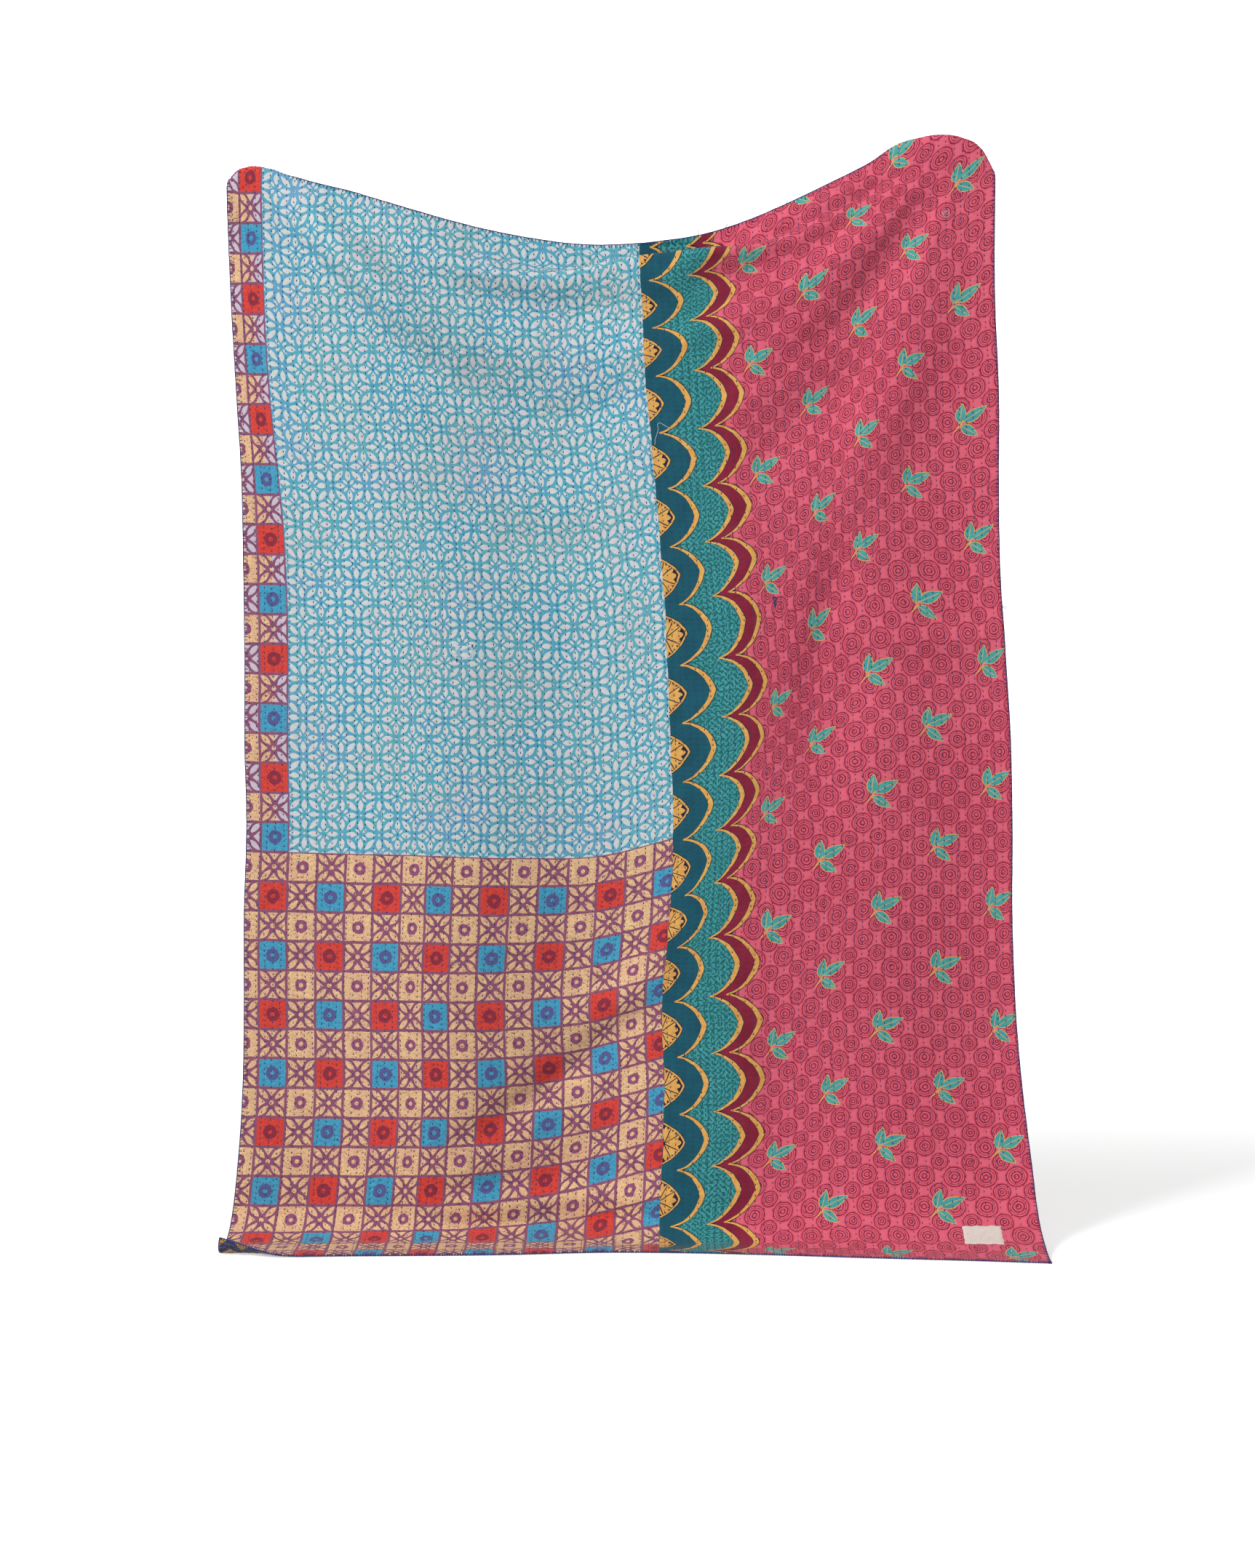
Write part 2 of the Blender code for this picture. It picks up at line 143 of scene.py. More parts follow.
SOFT_FOLDS = (
    # the same for softer troughs and ridges between them, which run closer to the hems
    (118, 65, 413, 290, 720, 198, 58, 19),
    (87, 47, 206, 205, 354, 334, 33, 16),
    (304, 322, 482, 452, 649, 352, 29, 5.5),
    (270, 412, 437, 528, 636, 462, 58, -12),
    (722, 234, 910, 158, 1136, 83, 35, 18.5),
    (692, 303, 952, 348, 1095, 98, 26, -11),
    (783, 465, 953, 395, 1102, 210, 35, 11),
    (836, 581, 965, 462, 1110, 354, 54, -14),
    (1003, 719, 1026, 428, 1190, 211, 28, 7),
    (812, 545, 810, 896, 792, 1236, 44, 8.5),
    (777, 1307, 819, 1490, 798, 1670, 42, 8.5),
    (1034, 767, 994, 928, 914, 1118, 49, -13),
    (701, 1200, 664, 1438, 429, 1372, 36, 10),
    (659, 1474, 526, 1664, 283, 1659, 30, -10.5),
    (300, 1669, 500, 1680, 690, 1702, 18, 13.5),
    (340, 1708, 540, 1741, 700, 1738, 16, -17),
    (955, 809, 1150, 830, 1300, 813, 38, 10),
    (150, 112, 378, 304, 704, 272, 24, -6),
)
FOLD_STEPS = 10
WAVES = (
    # depth, length across, shift, share that grows downwards
    (0.015, 0.62, 0.10, 0.4),
    (0.009, 0.37, 0.25, 1.0),
)


def curve_value(xs, ys, x):
    """The height at x of a smooth curve through points."""
    slopes = np.gradient(ys, xs)
    i = np.clip(np.searchsorted(xs, x) - 1, 0, len(xs) - 2)
    step = xs[i + 1] - xs[i]
    t = np.clip((x - xs[i]) / step, 0, 1)
    start = (1 + 2 * t) * (1 - t) ** 2 * ys[i] + t * (1 - t) ** 2 * step * slopes[i]
    end = t * t * (3 - 2 * t) * ys[i + 1] - t * t * (1 - t) * step * slopes[i + 1]
    return start + end


def table_value(table, column, x, unit=1000):
    """A column of a table of millimetres, or of degrees with unit 1, at x in metres."""
    rows = np.array(table)
    return curve_value(rows[:, 0] / 1000, rows[:, column] / unit, x)


def soft_step(t):
    """Rises smoothly from 0 to 1 as t does."""
    t = np.clip(t, 0, 1)
    return t * t * (3 - 2 * t)


def pleat_path(below, turn):
    """Drop and run forward of the cloth along a pleat that turns forward over itself and falls."""
    share = np.clip((below - PLEAT_START) / PLEAT_LENGTH, 0, 1)
    drop = np.minimum(below, PLEAT_START) + np.maximum(below - PLEAT_START - PLEAT_LENGTH, 0)
    forward = 0 * drop
    for k in range(PLEAT_STEPS):
        angle = turn * np.sin(math.pi * share * (k + 0.5) / PLEAT_STEPS) ** 2
        drop = drop + np.cos(angle) * share * PLEAT_LENGTH / PLEAT_STEPS
        forward = forward + np.sin(angle) * share * PLEAT_LENGTH / PLEAT_STEPS
    return drop, forward


def fold_depth(folds, across, down):
    """How far a table of folds pushes the cloth forward at a point."""
    forward = 0 * across
    places = np.linspace(0, 1, FOLD_STEPS + 1)
    for x0, y0, x1, y1, x2, y2, half_width, depth in np.array(folds) / 1000:
        xs = (1 - places) ** 2 * x0 + 2 * places * (1 - places) * x1 + places ** 2 * x2
        ys = (1 - places) ** 2 * y0 + 2 * places * (1 - places) * y1 + places ** 2 * y2
        nearest = np.full(np.shape(across), np.inf)
        place = 0 * across
        for k in range(FOLD_STEPS):
            run_x = xs[k + 1] - xs[k]
            run_y = ys[k + 1] - ys[k]
            along = (across - xs[k]) * run_x + (down - ys[k]) * run_y
            along = np.clip(along / (run_x ** 2 + run_y ** 2), 0, 1)
            away = (across - xs[k] - along * run_x) ** 2 + (down - ys[k] - along * run_y) ** 2
            place = np.where(away < nearest, (k + along) / FOLD_STEPS, place)
            nearest = np.minimum(away, nearest)
        taper = np.sin(math.pi * (0.06 + 0.88 * place))
        forward = forward + depth * taper * np.exp(-nearest / half_width ** 2)
    return forward


def middle_surface(across, down):
    """Place of a point of the cloth's middle surface, as x, y and height above the floor."""
    crest, crest_down = [table_value(TOP_EDGE, column, across) for column in (1, 2)]
    turn = np.radians(table_value(TOP_EDGE, 4, across, 1))
    middle, lower, curl, kick = [table_value(FALL, column, across) for column in (1, 2, 3, 4)]
    lip = np.radians(np.maximum(table_value(FALL, 5, across, 1), 0.5))
    below = down - crest_down

    # Over the crest and down behind it
    arc = CREST_RADIUS * math.pi / 2
    bend = np.clip(below, -arc, arc) / CREST_RADIUS
    crest_drop = CREST_RADIUS * (1 - np.cos(bend)) + np.maximum(np.abs(below) - arc, 0)
    crest_y = CREST_RADIUS * (1 - np.sin(bend))

    # The pleat, then the fall to the start of the foot's curl
    drop, pleat_run = pleat_path(below, turn)
    end_drop, end_run = pleat_path(0 * below + PLEAT_END, turn)
    pleat_height = crest - CREST_RADIUS - (end_drop - arc)
    fall_start = crest_down + PLEAT_END
    curl_start = LOWER_DOWN + lower - curl
    upper_part = np.clip((down - fall_start) / (MIDDLE_DOWN - fall_start), 0, 1)
    lower_part = np.clip((down - MIDDLE_DOWN) / (LOWER_DOWN - MIDDLE_DOWN), 0, 1)
    fall = pleat_height + (middle - pleat_height) * upper_part + (lower - middle) * lower_part
    height = np.where(below > arc, crest - CREST_RADIUS - (drop - arc), crest - crest_drop)
    height = np.where(below > PLEAT_END, fall, height)
    height = np.where(down > LOWER_DOWN, lower - (down - LOWER_DOWN), height)
    y = end_run - pleat_run + crest_y

    # The curl of the foot, the run on the floor, and the lip of the left corner
    turned = np.clip((down - curl_start) / curl, 0, math.pi / 2)
    flat_start = curl_start + curl * math.pi / 2
    lip_start = np.maximum(CLOTH_LENGTH - LIP_LENGTH, flat_start)
    lip_radius = LIP_LENGTH / lip
    lip_turned = np.clip(down - lip_start, 0, LIP_LENGTH) / lip_radius
    flat_run = np.clip(down - flat_start, 0, lip_start - flat_start)
    foot_height = curl * (1 - np.sin(turned)) + lip_radius * (1 - np.cos(lip_turned))
    foot_y = -curl * (1 - np.cos(turned)) - flat_run - lip_radius * np.sin(lip_turned)
    height = np.where(down > curl_start, foot_height, height)
    y = y + np.where(down > curl_start, foot_y, 0)
    y = y - kick * (1 - np.clip(height / KICK_HEIGHT, 0, 1)) ** 2 * (down > MIDDLE_DOWN)

    # Folds and slow waves fade out at the crest and on the floor
    free = soft_step((below - 0.02) / 0.10) * soft_step((flat_start - down) / 0.10)
    forward = fold_depth(FOLDS, across, down)
    for depth, length, shift, growth in WAVES:
        swing = np.sin(2 * math.pi * (across - shift) / length)
        forward = forward + depth * swing * (1 - growth + growth * down / CLOTH_LENGTH)
    soft_free = soft_step(below / 0.05) * soft_step((flat_start - down) / 0.06)
    y = y - forward * free - fold_depth(SOFT_FOLDS, across, down) * soft_free

    # From flat distance across to the outline at this height
    left, seam, right = [table_value(OUTLINE, column, height) for column in (1, 2, 3)]
    on_left = left + (seam - left) * across / LEFT_WIDTH
    on_right = seam + (right - seam) * (across - LEFT_WIDTH) / (FULL_WIDTH - LEFT_WIDTH)
    x = np.where(across < LEFT_WIDTH, on_left, on_right)
    return np.stack((x, y, height - SWAG_LOW_HEIGHT), axis=-1)


def cloth_frame(across, down):
    """Middle points of the cloth, the way it faces there, and the way it runs down and across."""
    step = 0.0004
    inner = np.clip(across, step, FULL_WIDTH - step)
    along = middle_surface(inner + step, down) - middle_surface(inner - step, down)
    falling = middle_surface(across, down + step) - middle_surface(across, down - step)
    facing = np.cross(falling, along)
    for way in (facing, falling, along):
        way /= np.linalg.norm(way, axis=-1, keepdims=True)
    point = middle_surface(across, down)
    point[..., 2] += 0.0015
    return point, facing, falling, along


def hem_down(across):
    """How far down the flat cloth its top hem lies."""
    return table_value(TOP_EDGE, 3, across)


CRUMPLE_GRID = 400


def crumple(across, down, size, seed):
    """Soft uneven bumps between -1 and 1 with a given size, the same on every run."""
    rng = np.random.default_rng(seed)
    grid = rng.uniform(-1, 1, (CRUMPLE_GRID, CRUMPLE_GRID))
    s = across / size + 7.3
    t = down / size + 7.3
    i = np.floor(s).astype(int)
    j = np.floor(t).astype(int)
    fs = soft_step(s - i)
    ft = soft_step(t - j)
    n = CRUMPLE_GRID
    near, far = [grid[i % n, k % n] * (1 - fs) + grid[(i + 1) % n, k % n] * fs for k in (j, j + 1)]
    return near * (1 - ft) + far * ft


ROW_SPACING = 0.0131
STITCH_SPACING = 0.0085
ROW_STAGGER = 0.618


def row_wander(number, down, sine=np.sin):
    """How far a hand-sewn row of running stitch strays sideways."""
    return sine(down * 17.0 + number * 1.7) * 0.0010 + sine(down * 43.0 + number * 4.1) * 0.0005


def quilting_height(across, down):
    """How far the cloth puffs up between the rows of stitch, and the small puckers along them."""
    number = np.floor(across / ROW_SPACING)
    side = across - (number + 0.5) * ROW_SPACING - row_wander(number, down)
    puff = 1 - np.cos(math.pi * np.clip(np.abs(side) / (ROW_SPACING / 2), 0, 1))
    pucker = crumple(across * 0.55, down, 0.011, 3) * 0.00045 + crumple(across, down, 0.034, 5) * 0.0007
    return puff * 0.00016 + pucker


HEM_ROUNDING = 0.0028


def spread(start, end, step):
    """Even distances from start to end, with a few close ones at both for the rounded hem."""
    even = np.linspace(start + HEM_ROUNDING, end - HEM_ROUNDING, max(2, int((end - start) / step)))
    close = HEM_ROUNDING * np.array((0.0, 0.12, 0.4, 0.7))
    return np.concatenate((start + close, even, end - close[::-1]))


SHEET_DROP = 1.72
FINE_DROP = 0.13
FINE_STEP = 0.0032


def make_piece(name, points, faces, material):
    """A smooth mesh object with one material."""
    data = bpy.data.meshes.new(name)
    data.from_pydata(np.reshape(points, (-1, 3)).tolist(), [], faces)
    data.shade_smooth()
    data.materials.append(material)
    piece = bpy.data.objects.new(name, data)
    bpy.context.scene.collection.objects.link(piece)
    return piece


def grid_faces(rows, columns, outwards=True):
    """Four-sided faces between the points of a grid."""
    number = np.arange(rows * columns).reshape(rows, columns)
    a, b, c, d = number[:-1, :-1], number[1:, :-1], number[1:, 1:], number[:-1, 1:]
    return np.stack((a, b, c, d) if outwards else (a, d, c, b), axis=-1).reshape(-1, 4).tolist()


def keep_places(piece, **places):
    """Keep flat places of a piece's points as its UV maps, at half size."""
    corner = np.empty(len(piece.data.loops), dtype=np.int32)
    piece.data.loops.foreach_get("vertex_index", corner)
    for label, place in places.items():
        layer = piece.data.uv_layers.new(name=label)
        layer.data.foreach_set("uv", (place.reshape(-1, 2)[corner] / 2).astype(np.float32).ravel())


def sew_sheet(name, material, columns, down_step, thickness, print_place, open_left=False):
    """A quilted sheet on the hanging shape, rounded at its hems; its rows are finer near the top."""
    tops = spread(0, SHEET_DROP, FINE_STEP)
    lower = np.arange(FINE_DROP, SHEET_DROP - HEM_ROUNDING, down_step)
    close = SHEET_DROP - HEM_ROUNDING * np.array((1.0, 0.7, 0.4, 0.12, 0.0))
    steps = np.concatenate((tops[tops < FINE_DROP], lower, close))[:, None]
    hems = hem_down(columns)
    across = np.broadcast_to(columns, (len(steps), len(columns)))
    stretched = FINE_DROP + (steps - FINE_DROP) / (SHEET_DROP - FINE_DROP) * (CLOTH_LENGTH - hems - FINE_DROP)
    down = hems + np.where(steps < FINE_DROP, steps, stretched)
    point, facing, falling, along = cloth_frame(across, down)
    near_hem = np.minimum(np.minimum(down - hems, CLOTH_LENGTH - down), columns[-1] - across)
    if not open_left:
        near_hem = np.minimum(near_hem, across - columns[0])
    round_off = np.sqrt(np.clip(1 - (1 - np.clip(near_hem / HEM_ROUNDING, 0, 1)) ** 2, 0, 1))
    height = thickness * round_off
    height = height + quilting_height(across, down) * soft_step(near_hem / 0.006) * np.sign(thickness)
    point = point + facing * height[..., None]
    piece = make_piece(name, point, grid_faces(*across.shape, thickness > 0), material)
    keep_places(piece, flat=np.stack((across, down), axis=-1), print=print_place(across, down))
    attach(piece, "root")
    return piece


def dye(red, green, blue):
    """A colour given as it is seen, from 0 to 255, for a shader."""
    seen = np.array((red, green, blue)) / 255
    mixed = np.where(seen <= 0.04045, seen / 12.92, ((seen + 0.055) / 1.055) ** 2.4)
    return (*[float(part) for part in mixed], 1.0)


def plug(place, value):
    """Give a socket a link or a plain value."""
    if isinstance(value, Amount):
        value.tree.links.new(value.socket, place)
    else:
        place.default_value = value


def add_node(tree, kind, inputs=(), **settings):
    """A new shader node, with its settings and with links or values in its inputs."""
    node = tree.nodes.new("ShaderNode" + kind)
    for name, value in settings.items():
        setattr(node, name, value)
    for label, value in dict(inputs).items():
        plug(node.inputs[label], value)
    return node


class Amount:
    """A number that varies over the cloth, built from math nodes as it is written down."""

    def __init__(self, tree, socket):
        self.tree = tree
        self.socket = socket

    def of(self, operation, *others):
        node = add_node(self.tree, "Math", enumerate((self, *others)), operation=operation)
        return Amount(self.tree, node.outputs[0])

    def __rsub__(self, other):
        return self * -1.0 + other

    def odd(self):
        return abs(self.of("MODULO", 2.0)).of("GREATER_THAN", 0.5)

    def edge(self, softness):
        """0 below zero and 1 above it, with a soft change between."""
        node = add_node(self.tree, "MapRange", {"From Min": -softness, "From Max": softness, "Value": self},
                        interpolation_type="SMOOTHSTEP")
        return Amount(self.tree, node.outputs["Result"])


# Each sign or method of an amount, and the math node that it stands for
for method, operation in {
    "__add__": "ADD", "__sub__": "SUBTRACT", "__mul__": "MULTIPLY", "__truediv__": "DIVIDE",
    "__pow__": "POWER", "__abs__": "ABSOLUTE", "floor": "FLOOR", "fract": "FRACT", "round": "ROUND",
    "sine": "SINE", "cosine": "COSINE", "root": "SQRT", "least": "MINIMUM", "most": "MAXIMUM",
}.items():
    setattr(Amount, method, functools.partialmethod(Amount.of, operation))


def highest(amounts):
    """The largest of some amounts at each place."""
    return functools.reduce(Amount.most, amounts)


def joined(x, y, z=0.0):
    """A vector from three amounts."""
    return Amount(x.tree, add_node(x.tree, "CombineXYZ", enumerate((x, y, z))).outputs[0])


def speckle(x, y, scale, detail=2.0):
    """Uneven noise around zero, at places in metres."""
    node = add_node(x.tree, "TexNoise", {"Scale": scale, "Detail": detail, "Vector": joined(x, y)})
    return Amount(x.tree, node.outputs["Fac"]) - 0.5


def chance(x, y, seed):
    """A random number from 0 to 1 for each whole x and y."""
    node = add_node(x.tree, "TexWhiteNoise", {"Vector": joined(x, y, seed)})
    return Amount(x.tree, node.outputs["Value"])


def paint(ground, colour, mask):
    """Lay a colour over a ground where the mask is 1."""
    node = add_node(mask.tree, "Mix", {"Factor": mask, "A": ground, "B": colour}, data_type="RGBA")
    return Amount(mask.tree, [s for s in node.outputs if s.type == "RGBA"][0])


def mottled(ground, colour, x, y, scale, detail=2.0, gain=4.0, share=1.0):
    """A colour over a ground in soft patches."""
    patches = (speckle(x, y, scale, detail) * gain).edge(1.0)
    return paint(ground, colour, patches if share == 1.0 else patches * share)


def place_on_cloth(tree, label):
    """The two distances kept in one of the cloth's UV maps, in metres."""
    node = add_node(tree, "UVMap", uv_map=label)
    parts = add_node(tree, "SeparateXYZ", {0: Amount(tree, node.outputs["UV"])})
    return [Amount(tree, parts.outputs[k]) * 2.0 for k in (0, 1)]


def start_group(name, inputs, outputs):
    """A new shader node group with named number sockets, and its inputs as amounts."""
    group = bpy.data.node_groups.new(name, "ShaderNodeTree")
    for in_out, labels in (("INPUT", inputs), ("OUTPUT", outputs)):
        for label in labels:
            group.interface.new_socket(label, in_out=in_out, socket_type="NodeSocketFloat")
    entry = group.nodes.new("NodeGroupInput")
    return group, [Amount(group, entry.outputs[label]) for label in inputs]


def end_group(group, **values):
    """Send amounts to a group's named outputs."""
    leave = group.nodes.new("NodeGroupOutput")
    for label, value in values.items():
        plug(leave.inputs[label], value)


def use_group(tree, group, **values):
    """Place a group in a material and give back its outputs by name."""
    node = add_node(tree, "Group", values, node_tree=group)
    return {socket.name: Amount(tree, socket) for socket in node.outputs}


def bumped(height, strength, distance, **under):
    """The way a surface faces once it has small bumps."""
    inputs = {"Strength": strength, "Distance": distance, "Height": height, **under}
    node = add_node(height.tree, "Bump", inputs)
    return Amount(height.tree, node.outputs["Normal"])


def new_material(name):
    """A new material and its node tree."""
    material = bpy.data.materials.new(name)
    material.use_nodes = True
    return material, material.node_tree


def finish_shader(tree, roughness, color, **others):
    """Give a material's shader its colour, its roughness and what else it has."""
    shader = tree.nodes["Principled BSDF"]
    values = {"Base Color": color, "Roughness": roughness, **others}
    for label, value in values.items():
        plug(shader.inputs[label.replace("_", " ")], value)


# Plain weave with uneven yarns, and the dimples and ripples that hand quilting leaves
weave_group, (g_across, g_down) = start_group("cotton_weave", ("Across", "Down"), ("Height", "Shade"))
yarn = (g_across * (2 * math.pi / 0.00062)).sine() * (g_down * (2 * math.pi / 0.00058)).sine()
slub = speckle(g_across * 0.25, g_down * 2.0, 700.0) + speckle(g_across * 2.0, g_down * 0.25, 700.0)
end_group(weave_group, Height=yarn * 0.4 + slub, Shade=slub)

quilting_group, (g_across, g_down) = start_group("hand_quilting", ("Across", "Down"), ("Height", "Groove"))
row = (g_across / ROW_SPACING).floor()
side = abs(g_across - (row + 0.5) * ROW_SPACING - row_wander(row, g_down, Amount.sine))
groove = (0.0016 - side).edge(0.0016)
between = g_across / ROW_SPACING - 0.5
left_row = between.floor()
share = (between.fract() - 0.5).edge(0.5)
stitch_place = g_down / STITCH_SPACING
pull = ((stitch_place + left_row * ROW_STAGGER) * (2 * math.pi)).cosine() * (1.0 - share) \
    + ((stitch_place + (left_row + 1.0) * ROW_STAGGER) * (2 * math.pi)).cosine() * share
uneven = speckle(g_across * 0.6, g_down, 40.0) * 2.0 + 0.8
crease = speckle(g_across * 0.38, g_down, 170.0, 3.0)
end_group(quilting_group, Height=pull * uneven * -0.26 + crease * 1.1 - groove * 0.12, Groove=groove)


def cotton(color, bump_strength, across, down):
    """Finish a cotton cloth's material from the colour of its print, with painted shade in the quilted
    grooves.
    """
    tree = across.tree
    weave = use_group(tree, weave_group, Across=across, Down=down)
    quilting = use_group(tree, quilting_group, Across=across, Down=down)
    # Painted shade: the grooves between the stitch rows are darkened a little. The uneven yarns add darker
    # tone of their own.
    groove_shade_and_yarn_tone = quilting["Groove"] * 0.03 + (weave["Shade"] * 0.22 + 0.03).most(0.0)
    woven = bumped(weave["Height"], 0.25, 0.0002)
    normal = bumped(quilting["Height"], bump_strength, 0.001, Normal=woven)
    finish_shader(tree, 0.9, paint(color, dye(0, 0, 0), groove_shade_and_yarn_tone), Normal=normal, Sheen_Weight=0.12,
                  Sheen_Roughness=0.5, Specular_IOR_Level=0.25)


backing_material, tree = new_material("backing_print")
across, down = place_on_cloth(tree, "flat")
wobble = speckle(across, down, 45.0) * 0.0016
zig = ((across / 0.036).fract() - 0.5)
lane = (down + abs(zig) * 0.040 + wobble) / 0.056
band = lane.fract()
tone = (lane.floor() / 3.0).fract()
color = paint(dye(196, 148, 52), dye(150, 38, 44), (tone - 0.2).edge(0.01))
color = paint(color, dye(58, 62, 112), (tone - 0.55).edge(0.01))
for line_dye, middle, half_line in (
    (dye(226, 178, 74), 0.52, 0.075), (dye(38, 30, 40), 0.30, 0.035), (dye(38, 30, 40), 0.74, 0.035)
):
    color = paint(color, line_dye, (half_line - abs(band - middle)).edge(0.012))
color = paint(color, dye(212, 190, 150), (speckle(across, down, 220.0, 4.0) - 0.12).edge(0.1) * 0.5)
cotton(color, 0.8, across, down)

FRONT_THICKNESS = 0.0013
BACK_THICKNESS = -0.0012
BACK_STEPS = (0.0066, 0.0095)
SEAM_LAP = 0.0006


def front_height(across):
    """Height of the printed front above the middle of the cloth; the left cloth laps over the right."""
    return FRONT_THICKNESS + SEAM_LAP * (across < LEFT_WIDTH)


backing = sew_sheet(
    "backing_cloth", backing_material, spread(0, FULL_WIDTH, BACK_STEPS[0]), BACK_STEPS[1], BACK_THICKNESS,
    lambda across, down: np.stack((across, down), axis=-1))
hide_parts("backing")


# ---- Left front cloth ----
# A block-printed cotton: a sky-blue lattice of pale petals, with tan, red and blue squares below it
# and down its left side. It laps over the right cloth at the seam and is quilted to the backing.

FRONT_STEPS = (0.0033, 0.0072)
MEND_ACROSS = 0.353
MEND_DOWN = 0.790
MEND_WIDTH = 0.026
MEND_HEIGHT = 0.0196
BORDER_LINE = (
    # mm: down; where the line between squares and lattice lies, from the left edge
    (0, 58), (200, 55), (340, 54), (500, 59), (600, 66), (700, 69),
    (900, 69), (1110, 67), (1400, 69), (1840, 70),
)
PRINT_DRIFT = (
    # mm: across; how far the print has moved to the right and down there, where the cloth is drawn in
    (0, 0, 2), (200, 1, -1), (250, 3, 0), (292, 11, 0),
    (420, 19, -3), (560, 19, -5), (650, 22, 9), (680, 23, 14),
)
SQUARE = 0.0465
FIELD_START = 0.0705
FIELD_END = 1.11
LATTICE = 0.0304


def left_print(across, down):
    """Where a point of the left cloth lies in its print."""
    line = table_value(BORDER_LINE, 1, down)
    on_border = across * FIELD_START / line
    print_x = np.where(across < line, on_border, across - line + FIELD_START)
    return np.stack((print_x + table_value(PRINT_DRIFT, 1, across),
                     down + table_value(PRINT_DRIFT, 2, across)), axis=-1)


def petal(x, y, centre, half_length, half_width):
    """Above 0 inside a petal that lies along x, in the same units as its half width."""
    reach = (x - centre) / half_length
    return (1.0 - reach * reach) * half_width - abs(y)


left_material, tree = new_material("left_print")
across, down = place_on_cloth(tree, "flat")
print_x, print_y = place_on_cloth(tree, "print")
shift = speckle(across, down, 70.0) * 0.0022
shift_y = speckle(across + 3.0, down, 70.0) * 0.0022

# Sky-blue lattice: dots and petals between its crossings
in_mend = (MEND_WIDTH / 2 - abs(across - MEND_ACROSS)).least(
    MEND_HEIGHT / 2 - abs(down - MEND_DOWN))
on_mend = in_mend.edge(0.0003)
s = (print_x + shift - FIELD_START - 0.0245) / LATTICE + on_mend * 0.36
t = (print_y + shift_y - FIELD_END + LATTICE) / LATTICE + on_mend * 0.42
s_node = s.round()
t_node = t.round()
is_flower = (s_node + t_node).odd()
x = abs(s - s_node)
y = abs(t - t_node)
diagonal = (x + y) * 0.70711
aside = (x - y) * 0.70711
petals = petal(x, y, 0.5, 0.300, 0.142).most(petal(y, x, 0.5, 0.300, 0.142))
long_petal = petal(diagonal, aside, 0.7071, 0.375, 0.140)
long_petal_beside = petal(aside, diagonal - 0.7071, 0.0, 0.375, 0.140)
small_petal = petal(diagonal, aside, 0.270, 0.160, 0.070)
dot = 0.062 - (x * x + y * y).root()
at_dot = petals.most(long_petal).most(dot)
at_flower = petals.most(long_petal_beside).most(small_petal)
lattice_mask = (at_dot * (1.0 - is_flower) + at_flower * is_flower).edge(0.018)
cloud = speckle(across, down, 9.0, 3.0)
cloud_b = speckle(across + 5.0, down, 7.0, 3.0)
blue = paint(dye(84, 172, 199), dye(103, 180, 190), (cloud * 5.0).edge(1.0))
blue = paint(blue, dye(108, 162, 208), (cloud_b * 6.0 - 0.6).edge(0.8) * 0.7)
pale = paint(dye(222, 219, 224), dye(216, 222, 214), (cloud_b * 5.0).edge(1.0))
pale = paint(pale, dye(222, 206, 214), (cloud * 6.0 - 0.5).edge(0.9) * 0.8)
pale = mottled(pale, dye(196, 212, 222), across, down, 600.0, 4.0, 3.0, 0.35)
lattice = paint(blue, pale, lattice_mask)
mend_edge = (0.0007 - abs(in_mend)).edge(0.0006)
lattice = paint(lattice, dye(236, 244, 246), on_mend * 0.22 + mend_edge * 0.5)

# Squares: crossed-petal tiles and ringed squares in turn
c = (print_x + shift - 0.0240) / SQUARE
r = (print_y + shift_y - FIELD_END) / SQUARE
column = c.floor() + 1.0
line = r.floor()
x = c.fract() - 0.5
y = r.fract() - 0.5
is_tile = (column + line).odd()
is_bright = line.odd()
is_blue = ((column - 1.0) / 2.0 + (line - 1.0) / 2.0).odd()
diagonal = (abs(x) + abs(y)) * 0.70711
aside = (abs(x) - abs(y)) * 0.70711
tile_mask = petal(diagonal, aside, 0.405, 0.245, 0.094).least(0.456 - abs(x).most(abs(y)))
wedge_x = ((abs(x) - 0.215) * 0.80 - abs(y)).least(0.445 - abs(x))
wedge_y = ((abs(y) - 0.215) * 0.80 - abs(x)).least(0.445 - abs(y))
middle = (x * x + y * y).root()
tile_mask = tile_mask.most(wedge_x).most(wedge_y).most(0.078 - middle).edge(0.014)
inside = (0.460 - abs(x).most(abs(y))).edge(0.012)
ring_wobble = speckle(print_x, print_y, 130.0) * 0.10
ring = (0.215 - (middle + ring_wobble) + is_bright * 0.025).edge(0.016)
ring = ring * (middle + ring_wobble * 0.5 - 0.075).edge(0.016)
worms = speckle(across * 0.8, down * 1.25, 125.0, 1.0) * 6.5
crackle = (0.085 - abs(worms.fract() - 0.5)).edge(0.05) \
    * (speckle(across + 1.0, down, 240.0) * 6.0 + 0.6).edge(0.6)
mauve = mottled(dye(152, 90, 118), dye(138, 80, 112), across, down, 40.0)
tan = mottled(dye(248, 206, 154), dye(236, 188, 150), across, down, 25.0, 3.0)
tan_vein = paint(tan, dye(112, 72, 70), crackle * 0.8)
lavender = (x - 0.02).edge(0.02) * (FIELD_START - print_x).edge(0.0005) * (FIELD_END - print_y).edge(0.0005)
tile_color = paint(tan_vein, dye(206, 200, 222), lavender * 0.85)
tile = paint(mauve, tile_color, tile_mask)
bright = paint(dye(228, 72, 60), dye(74, 168, 204), is_blue)
bright = paint(bright, paint(dye(142, 34, 42), dye(28, 84, 130), is_blue), crackle * 0.8)
bright_ring = paint(dye(146, 46, 66), dye(88, 94, 150), is_blue)
square = paint(tan_vein, bright, is_bright)
square = paint(square, paint(dye(150, 84, 120), bright_ring, is_bright), ring)
square = paint(mauve, square, inside)
squares = paint(square, tile, is_tile)

